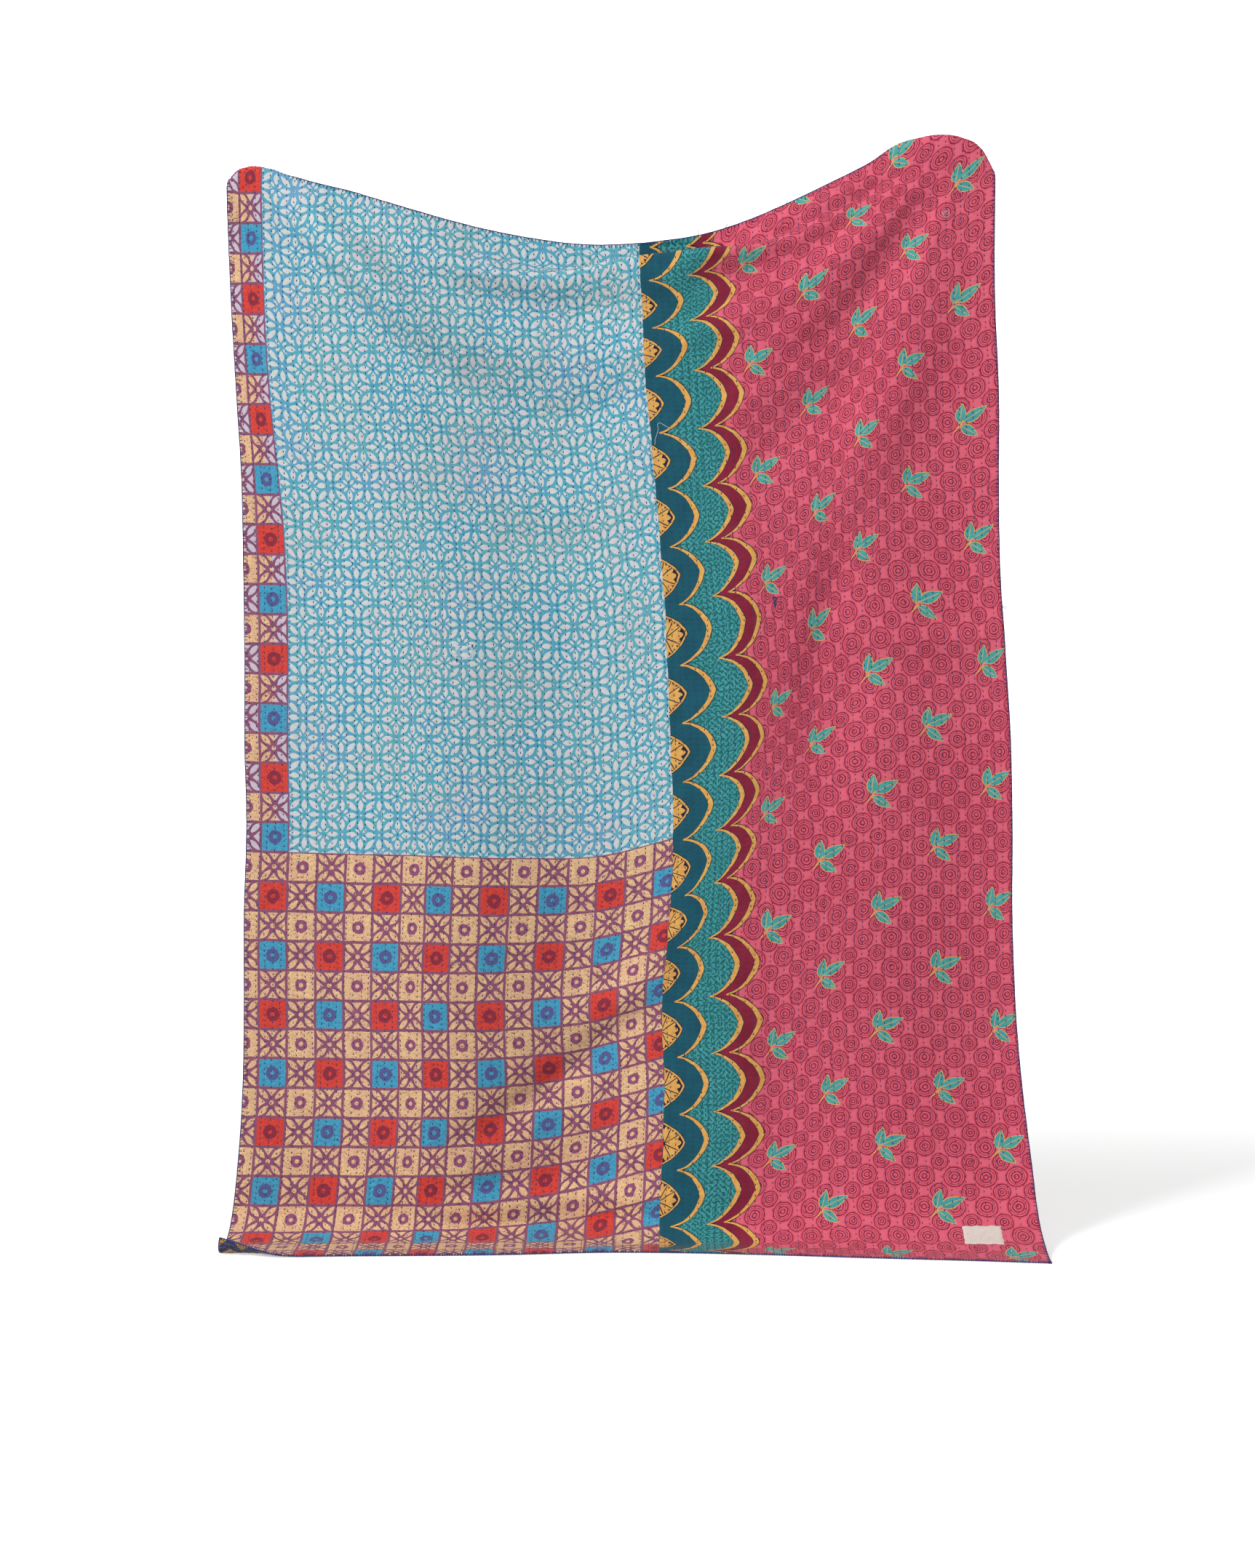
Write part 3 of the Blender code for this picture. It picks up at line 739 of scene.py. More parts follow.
on_squares = (FIELD_START - print_x).edge(0.0006).most((print_y - FIELD_END).edge(0.0006))
color = paint(lattice, squares, on_squares)
edge_line = (0.0007 - abs(print_x - FIELD_START)).edge(0.0005) * (FIELD_END - print_y).edge(0.001)
color = paint(color, dye(120, 96, 150), edge_line * 0.8)
cotton(color, 0.9, across, down)

left_cloth = sew_sheet(
    "left_cloth", left_material, spread(0, LEFT_WIDTH, FRONT_STEPS[0]), FRONT_STEPS[1],
    FRONT_THICKNESS + SEAM_LAP, left_print)
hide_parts("panel_left")


# ---- Right front cloth ----
# A printed cotton: a scalloped border in teal, maroon and ochre along the seam, then a pink ground of
# ringed circles with teal leaf sprigs. Its left edge runs under the left cloth.

SEAM_HIDDEN = 0.006
SPRIG_ROW = 0.1927
SCALLOP = SPRIG_ROW / 2
SPRIG_COLUMN = 0.0925
SPRIG_START = (0.178, 0.0856)
CIRCLE_SHIFT = (0.0246, -0.003)
PIN_REACH = 0.12
PRINT_PINS = (
    # print x in mm; first row and its step; then where each row lies in mm: across and down
    (21.5, 0, 0.5, (
        (696, 232), (698, 305), (700, 379), (697, 467), (703, 554), (698, 644), (708, 735), (704, 830),
        (703, 920), (701, 1012), (699, 1102), (706, 1197), (699, 1283), (703, 1376), (705, 1471), (707, 1567),
        (707, 1661), (699, 1750))),
    (110, 0, 0.5, (
        (789, 242), (789, 311), (793, 391), (793, 480), (791, 569), (790, 654), (795, 738), (803, 838),
        (803, 930), (791, 1017), (782, 1099), (777, 1183), (779, 1276), (790, 1376), (793, 1469), (792, 1564),
        (789, 1650), (784, 1741))),
    (178, 0, 1, (
        (852, 237), (857, 392), (857, 563), (861, 734), (862, 929), (840, 1094), (850, 1281), (864, 1469),
        (857, 1644))),
    (270.5, 0.5, 1, (
        (955, 292), (952, 467), (956, 633), (938, 815), (928, 994), (939, 1177), (949, 1364), (949, 1547),
        (940, 1724))),
    (363, 0, 1, (
        (1040, 176), (1041, 343), (1038, 517), (1027, 692), (1035, 886), (1033, 1077), (1040, 1261),
        (1043, 1450), (1035, 1632))),
    (455.5, -0.5, 1, (
        (1112, 80), (1132, 226), (1117, 408), (1119, 591), (1130, 778), (1133, 971), (1143, 1161),
        (1146, 1357), (1140, 1548), (1123, 1729))),
    (548, 0, 1, (
        (1218, 129), (1212, 315), (1216, 500), (1230, 683), (1240, 876), (1238, 1066), (1243, 1258),
        (1245, 1454), (1232, 1643))),
)


def even_print(across, down):
    """Where a point of the right cloth would lie in a print that only follows the slanting hem."""
    hem = hem_down(across)
    return np.stack((across - LEFT_WIDTH, (down - hem) * CLOTH_LENGTH / (CLOTH_LENGTH - hem)), axis=-1)


def right_print(across, down):
    """Where a point of the right cloth lies in its print, drawn smoothly through the pinned places."""
    pins = []
    wanted = []
    for print_x, first, step, places in PRINT_PINS:
        for number, place in enumerate(places):
            pins.append(place)
            wanted.append((print_x / 1000, SPRIG_START[1] + (first + number * step) * SPRIG_ROW))
    pins = np.array(pins) / 1000
    apart = np.linalg.norm(pins[:, None] - pins[None], axis=-1)
    hold = np.exp(-(apart / PIN_REACH) ** 2) + 0.01 * np.eye(len(pins))
    pulls = np.linalg.solve(hold, np.array(wanted) - even_print(pins[:, 0], pins[:, 1]))
    place = even_print(across, down)
    for pin, pull in zip(pins, pulls):
        away = (across - pin[0]) ** 2 + (down - pin[1]) ** 2
        place = place + np.exp(-away / PIN_REACH ** 2)[..., None] * pull
    return place


leaf_group, (g_x, g_y, g_from_x, g_from_y, g_to_x, g_to_y, g_width) = start_group(
    "printed_leaf", ("X", "Y", "From X", "From Y", "To X", "To Y", "Width"), ("Inside", "Along", "Beside"))
run_x = g_to_x - g_from_x
run_y = g_to_y - g_from_y
length = (run_x * run_x + run_y * run_y).root()
leaf_along = ((g_x - g_from_x) * run_x + (g_y - g_from_y) * run_y) / length
leaf_beside = ((g_x - g_from_x) * run_y - (g_y - g_from_y) * run_x) / length
leaf_share = leaf_along / length
within = leaf_share.most(0.0).least(1.0)
leaf_half = within * (1.0 - within) * (within * -0.7 + 1.35) * 4.0 * g_width / 2.0
beyond = abs(leaf_share - within) * length
end_group(leaf_group, Inside=leaf_half - abs(leaf_beside) - beyond, Along=leaf_share, Beside=leaf_beside)

scallop_group, (g_x, g_share, g_tip, g_cusp) = start_group(
    "scallop_line", ("X", "Share", "Tip", "Cusp"), ("Inside",))
rest = (1.0 - g_share * g_share).most(0.0004)
scallop_x = g_tip - (g_tip - g_cusp) * (g_share * 0.2 + (1.0 - rest ** 0.6) * 0.8)
steep = (g_tip - g_cusp) / (SCALLOP / 2) * (g_share * rest ** -0.4 * 0.96 + 0.2)
end_group(scallop_group, Inside=(scallop_x - g_x) / (steep * steep + 1.0).root())

right_material, tree = new_material("right_print")
across, down = place_on_cloth(tree, "flat")
print_x, print_y = place_on_cloth(tree, "print")
drift_x = print_x + speckle(across, down, 60.0) * 0.0030
drift_y = print_y + speckle(across + 3.0, down, 60.0) * 0.0030
cloud = speckle(across, down, 6.0, 3.0)

# Pink ground: large and small ringed circles on a square grid
pink = paint(dye(230, 94, 119), dye(218, 78, 105), (cloud * 5.0).edge(1.0))
pink = mottled(pink, dye(196, 66, 94), across, down, 120.0, 3.0, 3.0, 0.35)
CIRCLE_X = SPRIG_COLUMN / 2
CIRCLE_Y = SPRIG_ROW / 4
RINGS = (
    # radius of a large circle's rings, of a small one's, half width of the line, its strength
    (0.0156, 0.0126, 0.00085, 1.0),
    (0.0120, 0.0098, 0.00055, 0.7),
    (0.0082, 0.0062, 0.00090, 1.0),
    (0.0036, 0.0026, 0.00085, 1.0),
)
s = (drift_x - SPRIG_START[0] - CIRCLE_SHIFT[0]) / CIRCLE_X
t = (drift_y - SPRIG_START[1] - CIRCLE_SHIFT[1]) / CIRCLE_Y
x = (s - s.round()) * CIRCLE_X
y = (t - t.round()) * CIRCLE_Y
swirl = speckle(drift_x, drift_y, 90.0) * 0.0020
large = (x * x + y * y).root() + swirl
s = s + 0.5
t = t + 0.5
x = (s - s.round()) * CIRCLE_X
y = (t - t.round()) * CIRCLE_Y
small = (x * x + y * y).root() + swirl
behind_large = (large - 0.0163).edge(0.0004)
thick = speckle(across + 2.0, down, 140.0, 2.0) * 0.0014
dark_lines = []
pale_lines = []
for large_reach, small_reach, half_line, strength in RINGS:
    for lines, half, inner in ((dark_lines, thick + half_line, 0.0), (pale_lines, 0.0004, 0.0015)):
        on_large = (half - abs(large - (large_reach - inner))).edge(0.0005)
        on_small = (half - abs(small - (small_reach - inner))).edge(0.0005) * behind_large
        lines.append(on_large.most(on_small) * strength)
in_circle = (0.0160 - large).edge(0.0006).most((0.0130 - small).edge(0.0006))
halo = (0.0186 - large).edge(0.0006).most((0.0152 - small).edge(0.0006))
pink_ground = paint(dye(238, 110, 132), pink, halo * 0.6 + 0.25)
pink_ground = paint(pink_ground, dye(204, 72, 98), in_circle * 0.12)
pink_ground = paint(pink_ground, dye(238, 138, 156), highest(pale_lines) * 0.6)
pink_ground = paint(pink_ground, dye(146, 20, 50), highest(dark_lines) * 0.95)
DARN_START = (0.8854, 1.3299)
DARN_RUN = (0.970, -0.244)
DARN_LENGTH = 0.052
darn_x = across - DARN_START[0]
darn_y = down - DARN_START[1]
darn_along = darn_x * DARN_RUN[0] + darn_y * DARN_RUN[1]
darn_beside = darn_x * -DARN_RUN[1] + darn_y * DARN_RUN[0] + (darn_along * 420.0).sine() * 0.0006
darn = (0.0007 - abs(darn_beside)).edge(0.0004)
darn = darn * (DARN_LENGTH / 2 - abs(darn_along - DARN_LENGTH / 2)).edge(0.0005)
darn = darn * ((darn_along / 0.0052).fract() - 0.35).edge(0.05)
pink_ground = paint(pink_ground, dye(128, 18, 46), darn * 0.9)

# Leaf sprigs in staggered columns
a = (print_x - SPRIG_START[0]) / SPRIG_COLUMN
column = a.round()
b = (print_y - SPRIG_START[1] - column.odd() * (SPRIG_ROW / 2)) / SPRIG_ROW
x = (a - column) * SPRIG_COLUMN
y = (b - b.round()) * SPRIG_ROW
fill = None
outlines = []
for from_x, from_y, to_x, to_y, width in (
    (-0.003, -0.001, 0.004, -0.030, 0.0145), (0.003, -0.003, 0.040, -0.018, 0.0155),
    (-0.001, 0.003, 0.024, 0.023, 0.0135)
):
    leaf = use_group(tree, leaf_group, **{
        "X": x, "Y": y, "From X": from_x, "From Y": from_y, "To X": to_x, "To Y": to_y, "Width": width})
    inside = leaf["Inside"].edge(0.0003)
    vein = (0.0005 - abs(leaf["Beside"])).edge(0.0003) * (0.85 - leaf["Along"]).edge(0.05) \
        * (leaf["Along"] + 0.02).edge(0.02) * inside
    fill = (inside if fill is None else fill.most(inside)) * (1.0 - vein)
    outlines.append((leaf["Inside"] + 0.0013).edge(0.0003))
stem = use_group(tree, leaf_group, **{
    "X": x, "Y": y, "From X": -0.014, "From Y": 0.015, "To X": 0.006, "To Y": -0.006, "Width": 0.0022})
outlines.append(stem["Inside"].edge(0.0003))
sprig = mottled(dye(66, 158, 160), dye(84, 178, 174), across, down, 60.0)
field = paint(pink_ground, dye(228, 178, 92), highest(outlines))
field = paint(field, sprig, fill)

# Scalloped border, from the seam outwards
wave = ((drift_y - SPRIG_START[1]) / SCALLOP).fract() - 0.5
share = abs(wave) * 2.0
y_scallop = wave * SCALLOP
navy = dye(32, 30, 50)
ochre = mottled(dye(238, 184, 98), dye(224, 162, 82), across, down, 90.0)
dark_teal = mottled(dye(18, 92, 110), dye(15, 80, 98), across, down, 30.0, 3.0)
light_teal = mottled(dye(76, 164, 170), dye(62, 150, 158), across, down, 30.0, 3.0)
maroon = mottled(dye(148, 34, 62), dye(132, 24, 52), across, down, 30.0, 3.0)

vines = []
for number, (size, off_x, off_y) in enumerate(((0.0092, 0.0, 0.0), (0.0092, 0.5, 0.5), (0.0112, 0.3, 0.8))):
    cell_x = drift_x / size + off_x
    cell_y = drift_y / size + off_y
    x = (cell_x.fract() - 0.5) * size
    y = (cell_y.fract() - 0.5) * size
    turn = chance(cell_x.floor(), cell_y.floor(), number * 1.7 + 0.3) * math.pi
    along_leaf = x * turn.cosine() + y * turn.sine()
    beside_leaf = y * turn.cosine() - x * turn.sine()
    vines.append(petal(along_leaf, beside_leaf, 0.0, size * 0.44, size * 0.15).edge(0.0002))
stems = (((drift_x + (drift_y * 130.0).sine() * 0.0035) / 0.0125).fract() - 0.5) * 0.0125
vines.append((0.00035 - abs(stems)).edge(0.0002))
leafy = paint(light_teal, dye(22, 108, 106), highest(vines))

FAN_CENTRE = -0.008
MIDDLE_LEAF = math.radians(29)
SIDE_LEAF = math.radians(35)
reach = ((drift_x - FAN_CENTRE) ** 2.0 + y_scallop * y_scallop).root()
turn = abs(y_scallop.of("ARCTAN2", drift_x - FAN_CENTRE))
on_side = (turn - MIDDLE_LEAF).edge(0.001)
side_turn = abs(((turn - MIDDLE_LEAF) / SIDE_LEAF).fract() - 0.5) * 2.0
from_middle = turn / MIDDLE_LEAF * (1.0 - on_side) + side_turn * on_side
half_leaf = on_side * (SIDE_LEAF / 2 - MIDDLE_LEAF) + MIDDLE_LEAF
lobes = (abs((from_middle * (1.15 * math.pi)).cosine()) - 0.5) * 0.0056
leaf_tip = lobes + (1.0 - from_middle) * 0.0022 + on_side * -0.0006 + 0.0252
gap = (1.0 - from_middle) * half_leaf * reach - 0.0008
carved = (leaf_tip - reach).edge(0.0003) * gap.edge(0.0002)
medallion = paint(navy, ochre, carved)

border = field
zones = (
    # tip and cusp of the outer line; what fills it; width of its ochre band at tip and cusp
    (0.1635, 0.1100, maroon, 0.0085, 0.0022),
    (0.1320, 0.0815, leafy, 0.0085, 0.0022),
    (0.0713, 0.0215, dark_teal, 0.0085, 0.0024),
    (0.0290, -0.0560, medallion, 0.0030, 0.0018),
)
for tip, cusp, filling, band_at_tip, band_at_cusp in zones:
    scallop = use_group(tree, scallop_group, X=drift_x, Share=share, Tip=tip, Cusp=cusp)["Inside"]
    band = (share ** 1.6) * (band_at_cusp - band_at_tip) + band_at_tip
    reaches = (drift_x - cusp + 0.003).edge(0.001)
    inside = scallop.edge(0.0003)
    border = paint(border, navy, (scallop + 0.0012).edge(0.0003) * reaches.most(inside))
    border = paint(border, filling, inside)
    border = paint(border, navy, inside * (band + 0.0006 - scallop).edge(0.0003) * reaches * 0.8)
    border = paint(border, ochre, inside * (band - scallop).edge(0.0003) * reaches)
cotton(border, 0.9, across, down)

right_cloth = sew_sheet(
    "right_cloth", right_material, spread(LEFT_WIDTH - SEAM_HIDDEN, FULL_WIDTH, FRONT_STEPS[0]),
    FRONT_STEPS[1], FRONT_THICKNESS, right_print, open_left=True)
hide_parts("panel_right")


# ---- Running stitch ----
# 97 upright rows of indigo thread, sewn by hand through all the cloths. Each stitch is a short soft
# lozenge that sinks into the cloth at both ends; the back's lie between the front's.

thread_material, tree = new_material("indigo_thread")
place = Amount(tree, add_node(tree, "TexCoord").outputs["Object"])
twist = add_node(tree, "TexNoise", {"Scale": 900.0, "Vector": place})
thread_color = paint(dye(22, 26, 82), dye(50, 50, 124), Amount(tree, twist.outputs["Fac"]))
finish_shader(tree, 0.7, thread_color, Sheen_Weight=0.2)

STITCH_HALF_WIDTH = 0.00074
STITCH_LIFT = 0.00055
STITCH_SINK = 0.0005
STITCH_LENGTHS = (0.0029, 0.0046)
STITCH_BODY = 0.55
HEM_MARGIN = 0.004
MOST_STITCHES = 230
FRONT_RING = ((1.0, 0.0), (0.0, 1.0), (-1.0, 0.0), (0.0, -1.0))
BACK_RING = ((-1.0, -0.3), (0.0, 1.0), (1.0, -0.3))


def sew_stitches(name, across, down, length, side):
    """Soft lozenges along the cloth at given places, on its front (side 1) or its back (side -1)."""
    point, facing, falling, along = cloth_frame(across, down)
    thickness = front_height(across) if side > 0 else -BACK_THICKNESS
    base = thickness + quilting_height(across, down) + STITCH_LIFT * 0.35
    middle = point + facing * (side * base)[:, None]
    up = facing * side
    half = (length / 2)[:, None]
    ring = FRONT_RING if side > 0 else BACK_RING
    sides = len(ring)
    verts = [middle - falling * half - up * STITCH_SINK]
    for end in (-STITCH_BODY, STITCH_BODY):
        for wide, high in ring:
            rim = along * wide * STITCH_HALF_WIDTH + up * high * STITCH_LIFT
            verts.append(middle + falling * half * end + rim)
    verts.append(middle + falling * half - up * STITCH_SINK)
    ends = [(k + 1, (k + 1) % sides + 1) for k in range(sides)]
    triangles = [(0, n, k) for k, n in ends] + [(2 * sides + 1, sides + k, sides + n) for k, n in ends]
    quads = [(k, n, sides + n, sides + k) for k, n in ends]
    starts = (np.arange(len(across)) * (2 * sides + 2))[:, None, None]
    faces = (starts + np.array(triangles)).reshape(-1, 3).tolist()
    faces += (starts + np.array(quads)).reshape(-1, 4).tolist()
    piece = make_piece(name, np.stack(verts, axis=1), faces, thread_material)
    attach(piece, "root")
    return piece


def stitch_places(first, last, half_step):
    """Across, down and length of each stitch in the rows from first to last."""
    rng = np.random.default_rng(11 + first + (1000 if half_step else 0))
    places = []
    for number in range(first, last):
        middle = (number + 0.5) * ROW_SPACING
        top = float(hem_down(np.array(middle))) + HEM_MARGIN
        phase = math.floor(top / STITCH_SPACING + number * ROW_STAGGER) + 1
        downs = np.arange(phase, phase + MOST_STITCHES) - number * ROW_STAGGER + (0.5 if half_step else 0)
        downs = downs * STITCH_SPACING
        downs = downs[(downs > top) & (downs < CLOTH_LENGTH - HEM_MARGIN)]
        downs = downs + rng.uniform(-0.0006, 0.0006, len(downs))
        across = middle + row_wander(number, downs) + rng.uniform(-0.00025, 0.00025, len(downs))
        places.append(np.stack((across, downs, rng.uniform(*STITCH_LENGTHS, len(downs))), axis=1))
    return np.concatenate(places).T


ROWS_ON_LEFT = int(LEFT_WIDTH / ROW_SPACING)
ROW_COUNT = int(FULL_WIDTH / ROW_SPACING)
for name, first, last, side, slot in (
    ("running_stitch_left", 0, ROWS_ON_LEFT, 1, "left_cotton"),
    ("running_stitch_right", ROWS_ON_LEFT, ROW_COUNT, 1, "right_cotton"),
    ("running_stitch_back_left", 0, ROWS_ON_LEFT, -1, "backing_cotton"),
    ("running_stitch_back_right", ROWS_ON_LEFT, ROW_COUNT, -1, "backing_cotton"),
):
    across, down, length = stitch_places(first, last, side < 0)
    sew_stitches(name, across, down, length, side)


# ---- Hem stitch ----
# An indigo cord runs along all four hems, and loops of the same thread hold it down, about 6 mm apart
# and closer along the foot. They close the turned edges of the front and backing cloths.

THREAD_SIDES = 5
LOOP_STEP = 0.0063
FOOT_LOOP_STEP = 0.0039
LOOP_RADIUS = 0.00058
CORD_STEP = 0.004
CORD_RADIUS = 0.00085


def spin_thread(name, threads, radius, material):
    """Round threads as one piece; each is a row of points and a way that it never runs."""
    verts = []
    faces = []
    turns = (2 * math.pi / THREAD_SIDES * np.arange(THREAD_SIDES))[:, None]
    for path, guide in threads:
        way = np.gradient(path, axis=0)
        aside = np.cross(way, guide)
        aside /= np.linalg.norm(aside, axis=1, keepdims=True)
        up = np.cross(aside, way)
        up /= np.linalg.norm(up, axis=1, keepdims=True)
        size = np.full((len(path), 1, 1), radius)
        size[[0, -1]] *= 0.5
        rings = path[:, None] + (aside[:, None] * np.cos(turns) + up[:, None] * np.sin(turns)) * size
        start = len(verts)
        verts += rings.reshape(-1, 3).tolist()
        for k in range(start, start + (len(path) - 1) * THREAD_SIDES, THREAD_SIDES):
            for m in range(THREAD_SIDES):
                n = (m + 1) % THREAD_SIDES
                faces.append((k + m, k + m + THREAD_SIDES, k + n + THREAD_SIDES, k + n))
        faces.append(tuple(range(start, start + THREAD_SIDES)))
        faces.append(tuple(range(len(verts) - 1, len(verts) - 1 - THREAD_SIDES, -1)))
    piece = make_piece(name, verts, faces, material)
    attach(piece, "root")


def hem_sides(step, foot_step):
    """Places along each side of the throw, the way inwards and how deep the loops reach there."""
    beside = np.linspace(0, CLOTH_LENGTH, int(CLOTH_LENGTH / step))
    top = np.linspace(0, FULL_WIDTH, int(FULL_WIDTH / step))
    foot = np.linspace(0, FULL_WIDTH, int(FULL_WIDTH / foot_step))
    left = beside[beside > hem_down(0.0)]
    return (
        (np.zeros_like(left), left, (1, 0), 0.0050),
        (np.full_like(beside, FULL_WIDTH), beside, (-1, 0), 0.0050),
        (top, hem_down(top), (0, 1), 0.0046),
        (foot, np.full_like(foot, CLOTH_LENGTH), (0, -1), 0.0037),
    )


rng = np.random.default_rng(29)
loops = []
for across, down, inward, depth in hem_sides(LOOP_STEP, FOOT_LOOP_STEP):
    count = len(across)
    slip = rng.uniform(-0.0008, 0.0008, count)
    reach = depth * rng.uniform(0.8, 1.15, count)
    slant = rng.uniform(-0.0004, 0.0012, count)
    path = []
    for turn in np.linspace(-0.5, 0.5, 9):
        lean = slip + slant * 2 * turn
        deep = reach * math.sin(math.pi * turn) ** 2
        a = np.clip(across + inward[0] * deep + lean * abs(inward[1]), 0, FULL_WIDTH)
        d = np.clip(down + inward[1] * deep + lean * abs(inward[0]), 0, CLOTH_LENGTH)
        point, facing, falling, along = cloth_frame(a, d)
        sunk = 0.3 if abs(turn) == 0.5 else min(1, abs(turn) / 0.2)
        thick = math.copysign(sunk, turn) * (front_height(a) + 0.0003 if turn > 0 else 0.0015)
        out = (along * inward[0] + falling * inward[1]) * 0.0012 * math.cos(math.pi * turn)
        path.append(point + facing * np.reshape(thick, (-1, 1)) - out)
    loops += zip(np.stack(path, axis=1), (falling if inward[0] else along)[:, None])
spin_thread("hem_loops", loops, LOOP_RADIUS, thread_material)

cords = []
for across, down, inward, depth in hem_sides(CORD_STEP, CORD_STEP):
    point, facing, falling, along = cloth_frame(across, down)
    sway = crumple(across + down, across * 0, 0.013, 31)[:, None]
    out = (along * inward[0] + falling * inward[1]) * (0.0007 + 0.0003 * sway)
    cords.append((point - out, facing))
spin_thread("hem_cord", cords, CORD_RADIUS, thread_material)


# ---- Mend and loose threads ----
# A small patch of the same lattice cloth is held by pale and dark stitches; an indigo knot sits on the
# pink ground, and a few ends of thread lie loose on the front and stand at the hem.

pale_thread, tree = new_material("pale_thread")
finish_shader(tree, 0.7, dye(214, 216, 226))
pink_thread, tree = new_material("pink_thread")
finish_shader(tree, 0.7, dye(196, 120, 150))


def lay_thread(places):
    """A smooth row of points on the front of the cloth through flat places, and how it faces there."""
    share = np.linspace(0, len(places) - 1, 7 * len(places))
    across, down = [curve_value(np.arange(len(places)), column, share) for column in places.T]
    point, facing, falling, along = cloth_frame(across, down)
    height = front_height(across) + quilting_height(across, down) + 0.0004
    return point + facing * height[:, None], facing


def spin_laid(name, rows, radius, material):
    """Threads laid on the front of the cloth through rows of flat places, in millimetres."""
    spin_thread(name, [lay_thread(np.array(places) / 1000) for places in rows], radius, material)


mend_left = (MEND_ACROSS - MEND_WIDTH / 2) * 1000
mend_right = (MEND_ACROSS + MEND_WIDTH / 2) * 1000
mend_top = (MEND_DOWN - MEND_HEIGHT / 2) * 1000
pale_rows = []
for number in range(7):
    down = mend_top + 1.4 + 2.8 * number
    pale_rows.append(((mend_left - 1.6, down + 0.3), (mend_left + 1.4, down)))
    pale_rows.append(((mend_right - 2.2, down), (mend_right + 1.6, down + 0.4)))
spin_laid("mend_stitches", pale_rows, 0.00050, pale_thread)
spin_laid("mend_knots", (
    ((365.2, 777.2), (366.8, 779.0), (365.6, 780.6), (367.2, 782.2)),
    ((367.2, 777.6), (365.4, 779.2), (366.8, 781.2)),
    ((340.2, 799.6), (342.0, 801.2), (340.4, 803.0), (341.2, 805.2)),
    ((342.0, 799.8), (340.0, 801.8), (341.6, 803.6)),
), 0.00062, thread_material)
spin_laid("loose_pale_threads", (
    ((714.0, 462.3), (707.4, 459.4), (699.9, 453.3), (694.4, 451.2), (692.2, 454.5),
     (692.7, 460.8), (689.7, 467.4), (686.0, 475.0), (684.8, 481.8), (683.2, 483.0)),
    ((1192.0, 179.0), (1193.5, 174.0), (1197.5, 171.5), (1203.0, 173.5), (1203.5, 179.0),
     (1198.5, 181.5), (1194.5, 178.5), (1196.0, 174.0), (1200.0, 177.5)),
), 0.00036, pale_thread)
spin_laid("loose_pink_thread", (
    ((564.0, 345.0), (569.0, 343.4), (575.0, 344.0), (580.0, 346.2), (585.0, 350.0),
     (589.0, 354.5), (590.0, 360.0), (587.0, 366.0)),
), 0.00030, pink_thread)
spin_laid("indigo_knot", (
    ((871.6, 759.6), (874.8, 758.4), (877.4, 760.2), (876.6, 763.0), (872.8, 764.0),
     (871.2, 761.8), (874.0, 759.8), (876.6, 761.6)),
    ((872.2, 764.0), (875.6, 766.2), (872.6, 768.6), (875.8, 770.4), (873.0, 772.4), (874.4, 775.0)),
    ((876.0, 764.0), (872.4, 767.0), (875.2, 769.6), (872.8, 771.2), (874.4, 773.6)),
), 0.00070, thread_material)

tufts = []
for across, down, side_way, rise in (
    (0.780, 0.0, -0.25, 0.010), (0.827, 0.0, 0.35, 0.008), (0.931, 0.0, 0.2, 0.007),
    (FULL_WIDTH, 0.785, 1.0, 0.009), (FULL_WIDTH, 0.787, 0.8, 0.006)
):
    down = max(down, float(hem_down(np.array(across))))
    point, facing, falling, along = cloth_frame(np.array([across]), np.array([down]))
    on_side = across == FULL_WIDTH
    outward = along if on_side else along * side_way - falling
    share = np.linspace(0, 1, 6)[:, None]
    bend = (falling if on_side else along) * 0.3 - facing * 0.2
    tufts.append((point + outward * share * rise + bend * share ** 2 * rise, facing))
spin_thread("hem_thread_ends", tufts, 0.00050, thread_material)


# ---- Label ----
# A small rectangle of cream cotton tape, sewn flat near the lower right corner and left plain. It is
# cut taller than it measures on the flat cloth, as the cloth is drawn out there by the foot's curl.

LABEL_ACROSS = 1.188
LABEL_DOWN = 1.772
LABEL_WIDTH = 0.061
LABEL_HEIGHT = 0.031

label_material, tree = new_material("cream_tape")
across, down = place_on_cloth(tree, "flat")
weave = use_group(tree, weave_group, Across=across, Down=down)
color = mottled(dye(240, 231, 222), dye(222, 208, 196), across, down, 160.0, 3.0, 3.0, 0.6)
color = paint(color, dye(190, 172, 160), (weave["Shade"] * 1.2).most(0.0) * 0.3)
finish_shader(tree, 0.85, color, Normal=bumped(weave["Height"], 0.5, 0.0003))

grid = np.linspace(0, 1, 25)
share_x, share_y = np.meshgrid(grid, grid)
wave_x = crumple(share_y * 0.06, share_x * 0.0 + 0.1, 0.008, 17) * 0.0012
wave_y = crumple(share_x * 0.06, share_y * 0.0 + 0.4, 0.008, 19) * 0.0010
across = LABEL_ACROSS + LABEL_WIDTH * (share_x - 0.5) + wave_x
down = LABEL_DOWN + LABEL_HEIGHT * (share_y - 0.5) + wave_y
point, facing, falling, along = cloth_frame(across, down)
from_side = np.minimum(share_x, 1 - share_x) * LABEL_WIDTH
from_top = np.minimum(share_y, 1 - share_y) * LABEL_HEIGHT
lift = FRONT_THICKNESS + 0.0006 + 0.0012 * soft_step(np.minimum(from_side, from_top) / 0.0015)
point = point + facing * lift[..., None]
label = make_piece("label_tape", point, grid_faces(*across.shape), label_material)
keep_places(label, flat=np.stack((across, down), axis=-1))
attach(label, "root")
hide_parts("label")


# ---- Floor, light and camera ----
# A white studio sweep that glows, whiter towards the back; a key light from the front left, a weak fill
# from low on the right, and a camera at standing height that looks slightly down.

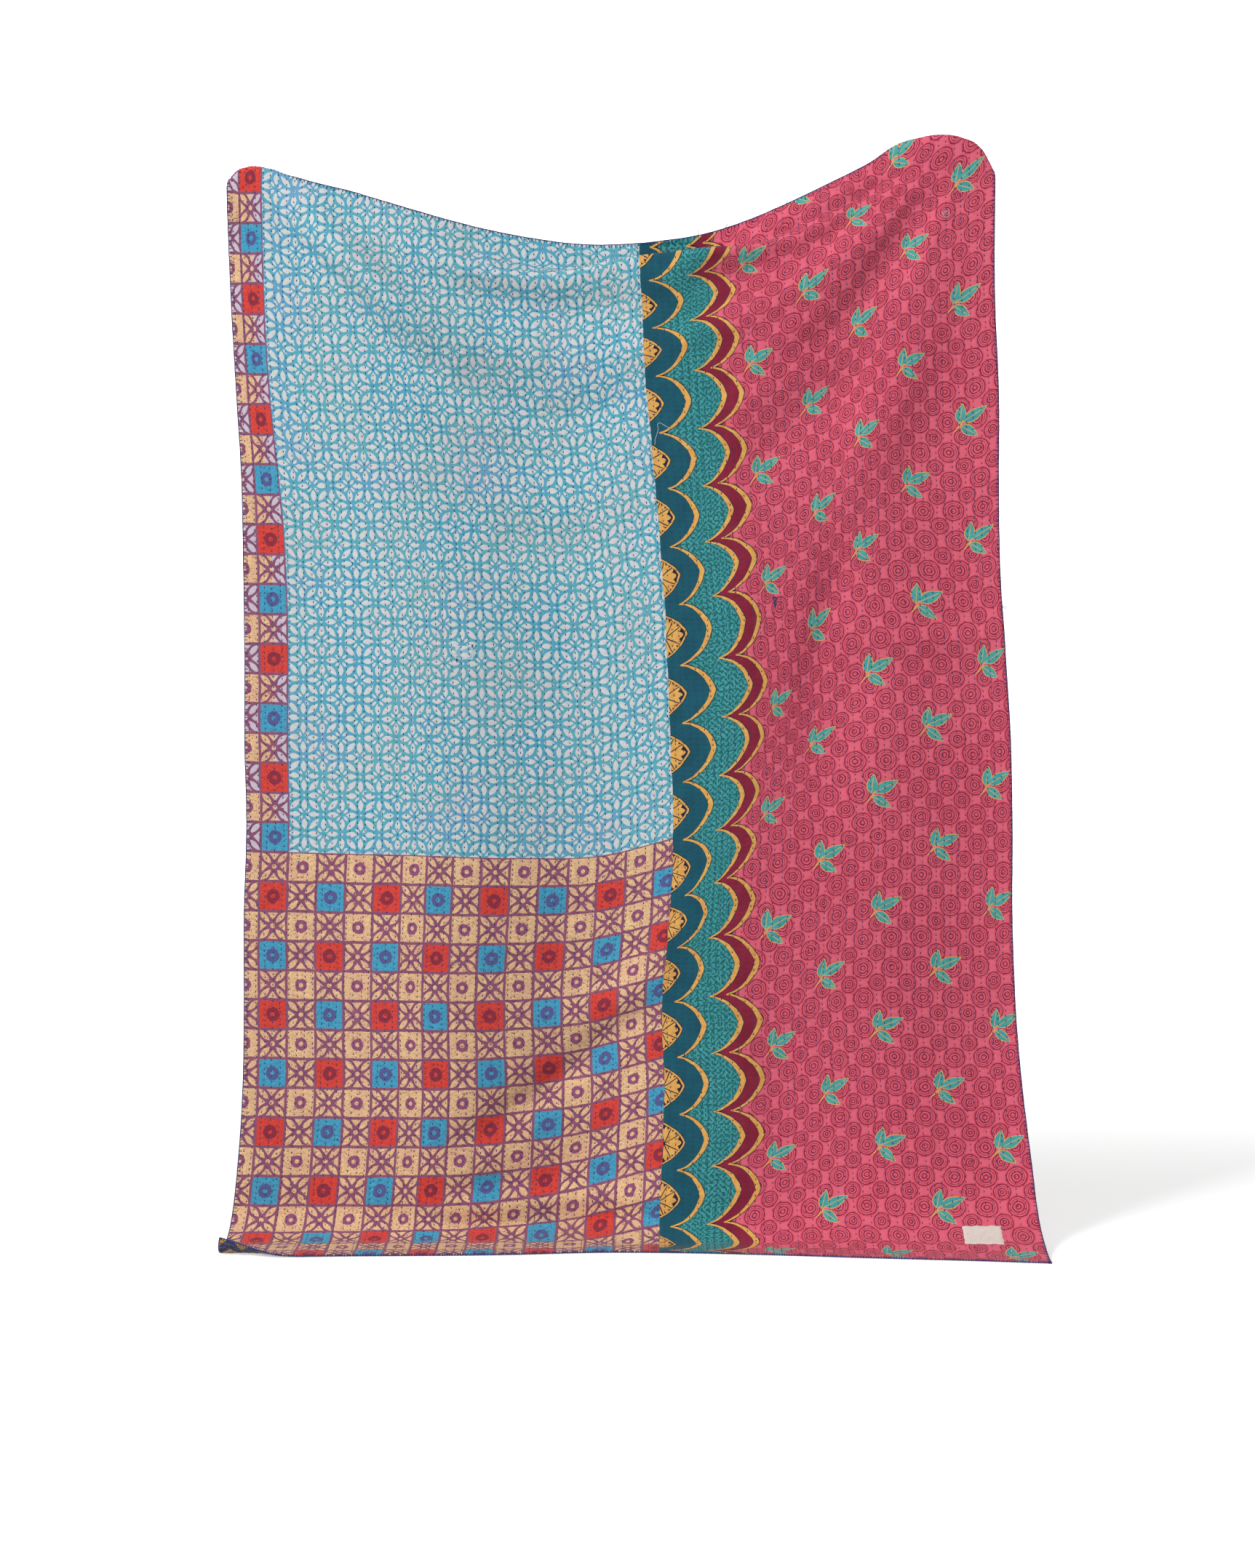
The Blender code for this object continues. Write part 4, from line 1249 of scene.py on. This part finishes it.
FLOOR_HEIGHT = -SWAG_LOW_HEIGHT
SWEEP_HALF_WIDTH = 9.0
SWEEP_TURN = 3.0
SWEEP_RADIUS = 1.5
SWEEP_STEPS = 12
SWEEP_TOP = 7.0

floor_material, tree = new_material("studio_white")
parts = add_node(tree, "SeparateXYZ", {0: Amount(tree, add_node(tree, "TexCoord").outputs["Object"])})
far = (Amount(tree, parts.outputs[1]) - 1.2).edge(0.9)
glow = paint((0.465, 0.465, 0.465, 1.0), (1.0, 1.0, 1.0, 1.0), far)
finish_shader(tree, 0.95, (0.93, 0.93, 0.93, 1.0), Emission_Color=glow, Emission_Strength=1.0)

profile = [(-SWEEP_HALF_WIDTH, 0.0), (SWEEP_TURN, 0.0)]
for k in range(1, SWEEP_STEPS + 1):
    bend = math.pi / 2 * k / SWEEP_STEPS
    profile.append((SWEEP_TURN + SWEEP_RADIUS * math.sin(bend), SWEEP_RADIUS * (1 - math.cos(bend))))
profile.append((SWEEP_TURN + SWEEP_RADIUS, SWEEP_TOP))
points = [[(x, y, z + FLOOR_HEIGHT) for x in (-SWEEP_HALF_WIDTH, SWEEP_HALF_WIDTH)] for y, z in profile]
faces = [(2 * k - 2, 2 * k - 1, 2 * k + 1, 2 * k) for k in range(1, len(profile))]
sweep = make_piece("studio_sweep", points, faces, floor_material)
sweep.visible_diffuse = False


def place_facing(name, data, place, aim):
    """An object at a place that looks towards a point."""
    thing = bpy.data.objects.new(name, data)
    thing.location = place
    thing.rotation_euler = (Vector(aim) - thing.location).to_track_quat("-Z", "Y").to_euler()
    bpy.context.scene.collection.objects.link(thing)
    return thing


for name, place, aim, size, power in (
    ("key", (-6.2, -5.8, 4.2), (0.0, 0.0, -0.8), 2.8, 690.0),
    ("fill", (3.0, -4.6, -0.4), (0.0, 0.0, -0.9), 3.0, 40.0),
):
    light = bpy.data.lights.new(name, "AREA")
    light.shape = "SQUARE"
    light.size = size
    light.energy = power
    place_facing(name, light, place, aim)

world = bpy.data.worlds.new("studio")
world.use_nodes = True
world.node_tree.nodes["Background"].inputs["Color"].default_value = (1.0, 1.0, 1.0, 1.0)
world.node_tree.nodes["Background"].inputs["Strength"].default_value = 0.36
bpy.context.scene.world = world
bpy.context.scene.view_settings.view_transform = "Standard"

camera_data = bpy.data.cameras.new("camera")
camera_data.lens = 62.7
camera_data.sensor_width = 36.0
bpy.context.scene.camera = place_facing(
    "camera", camera_data, (0.0, -4.3, 0.95 + FLOOR_HEIGHT), (-0.004, 0.0, 0.72 + FLOOR_HEIGHT))
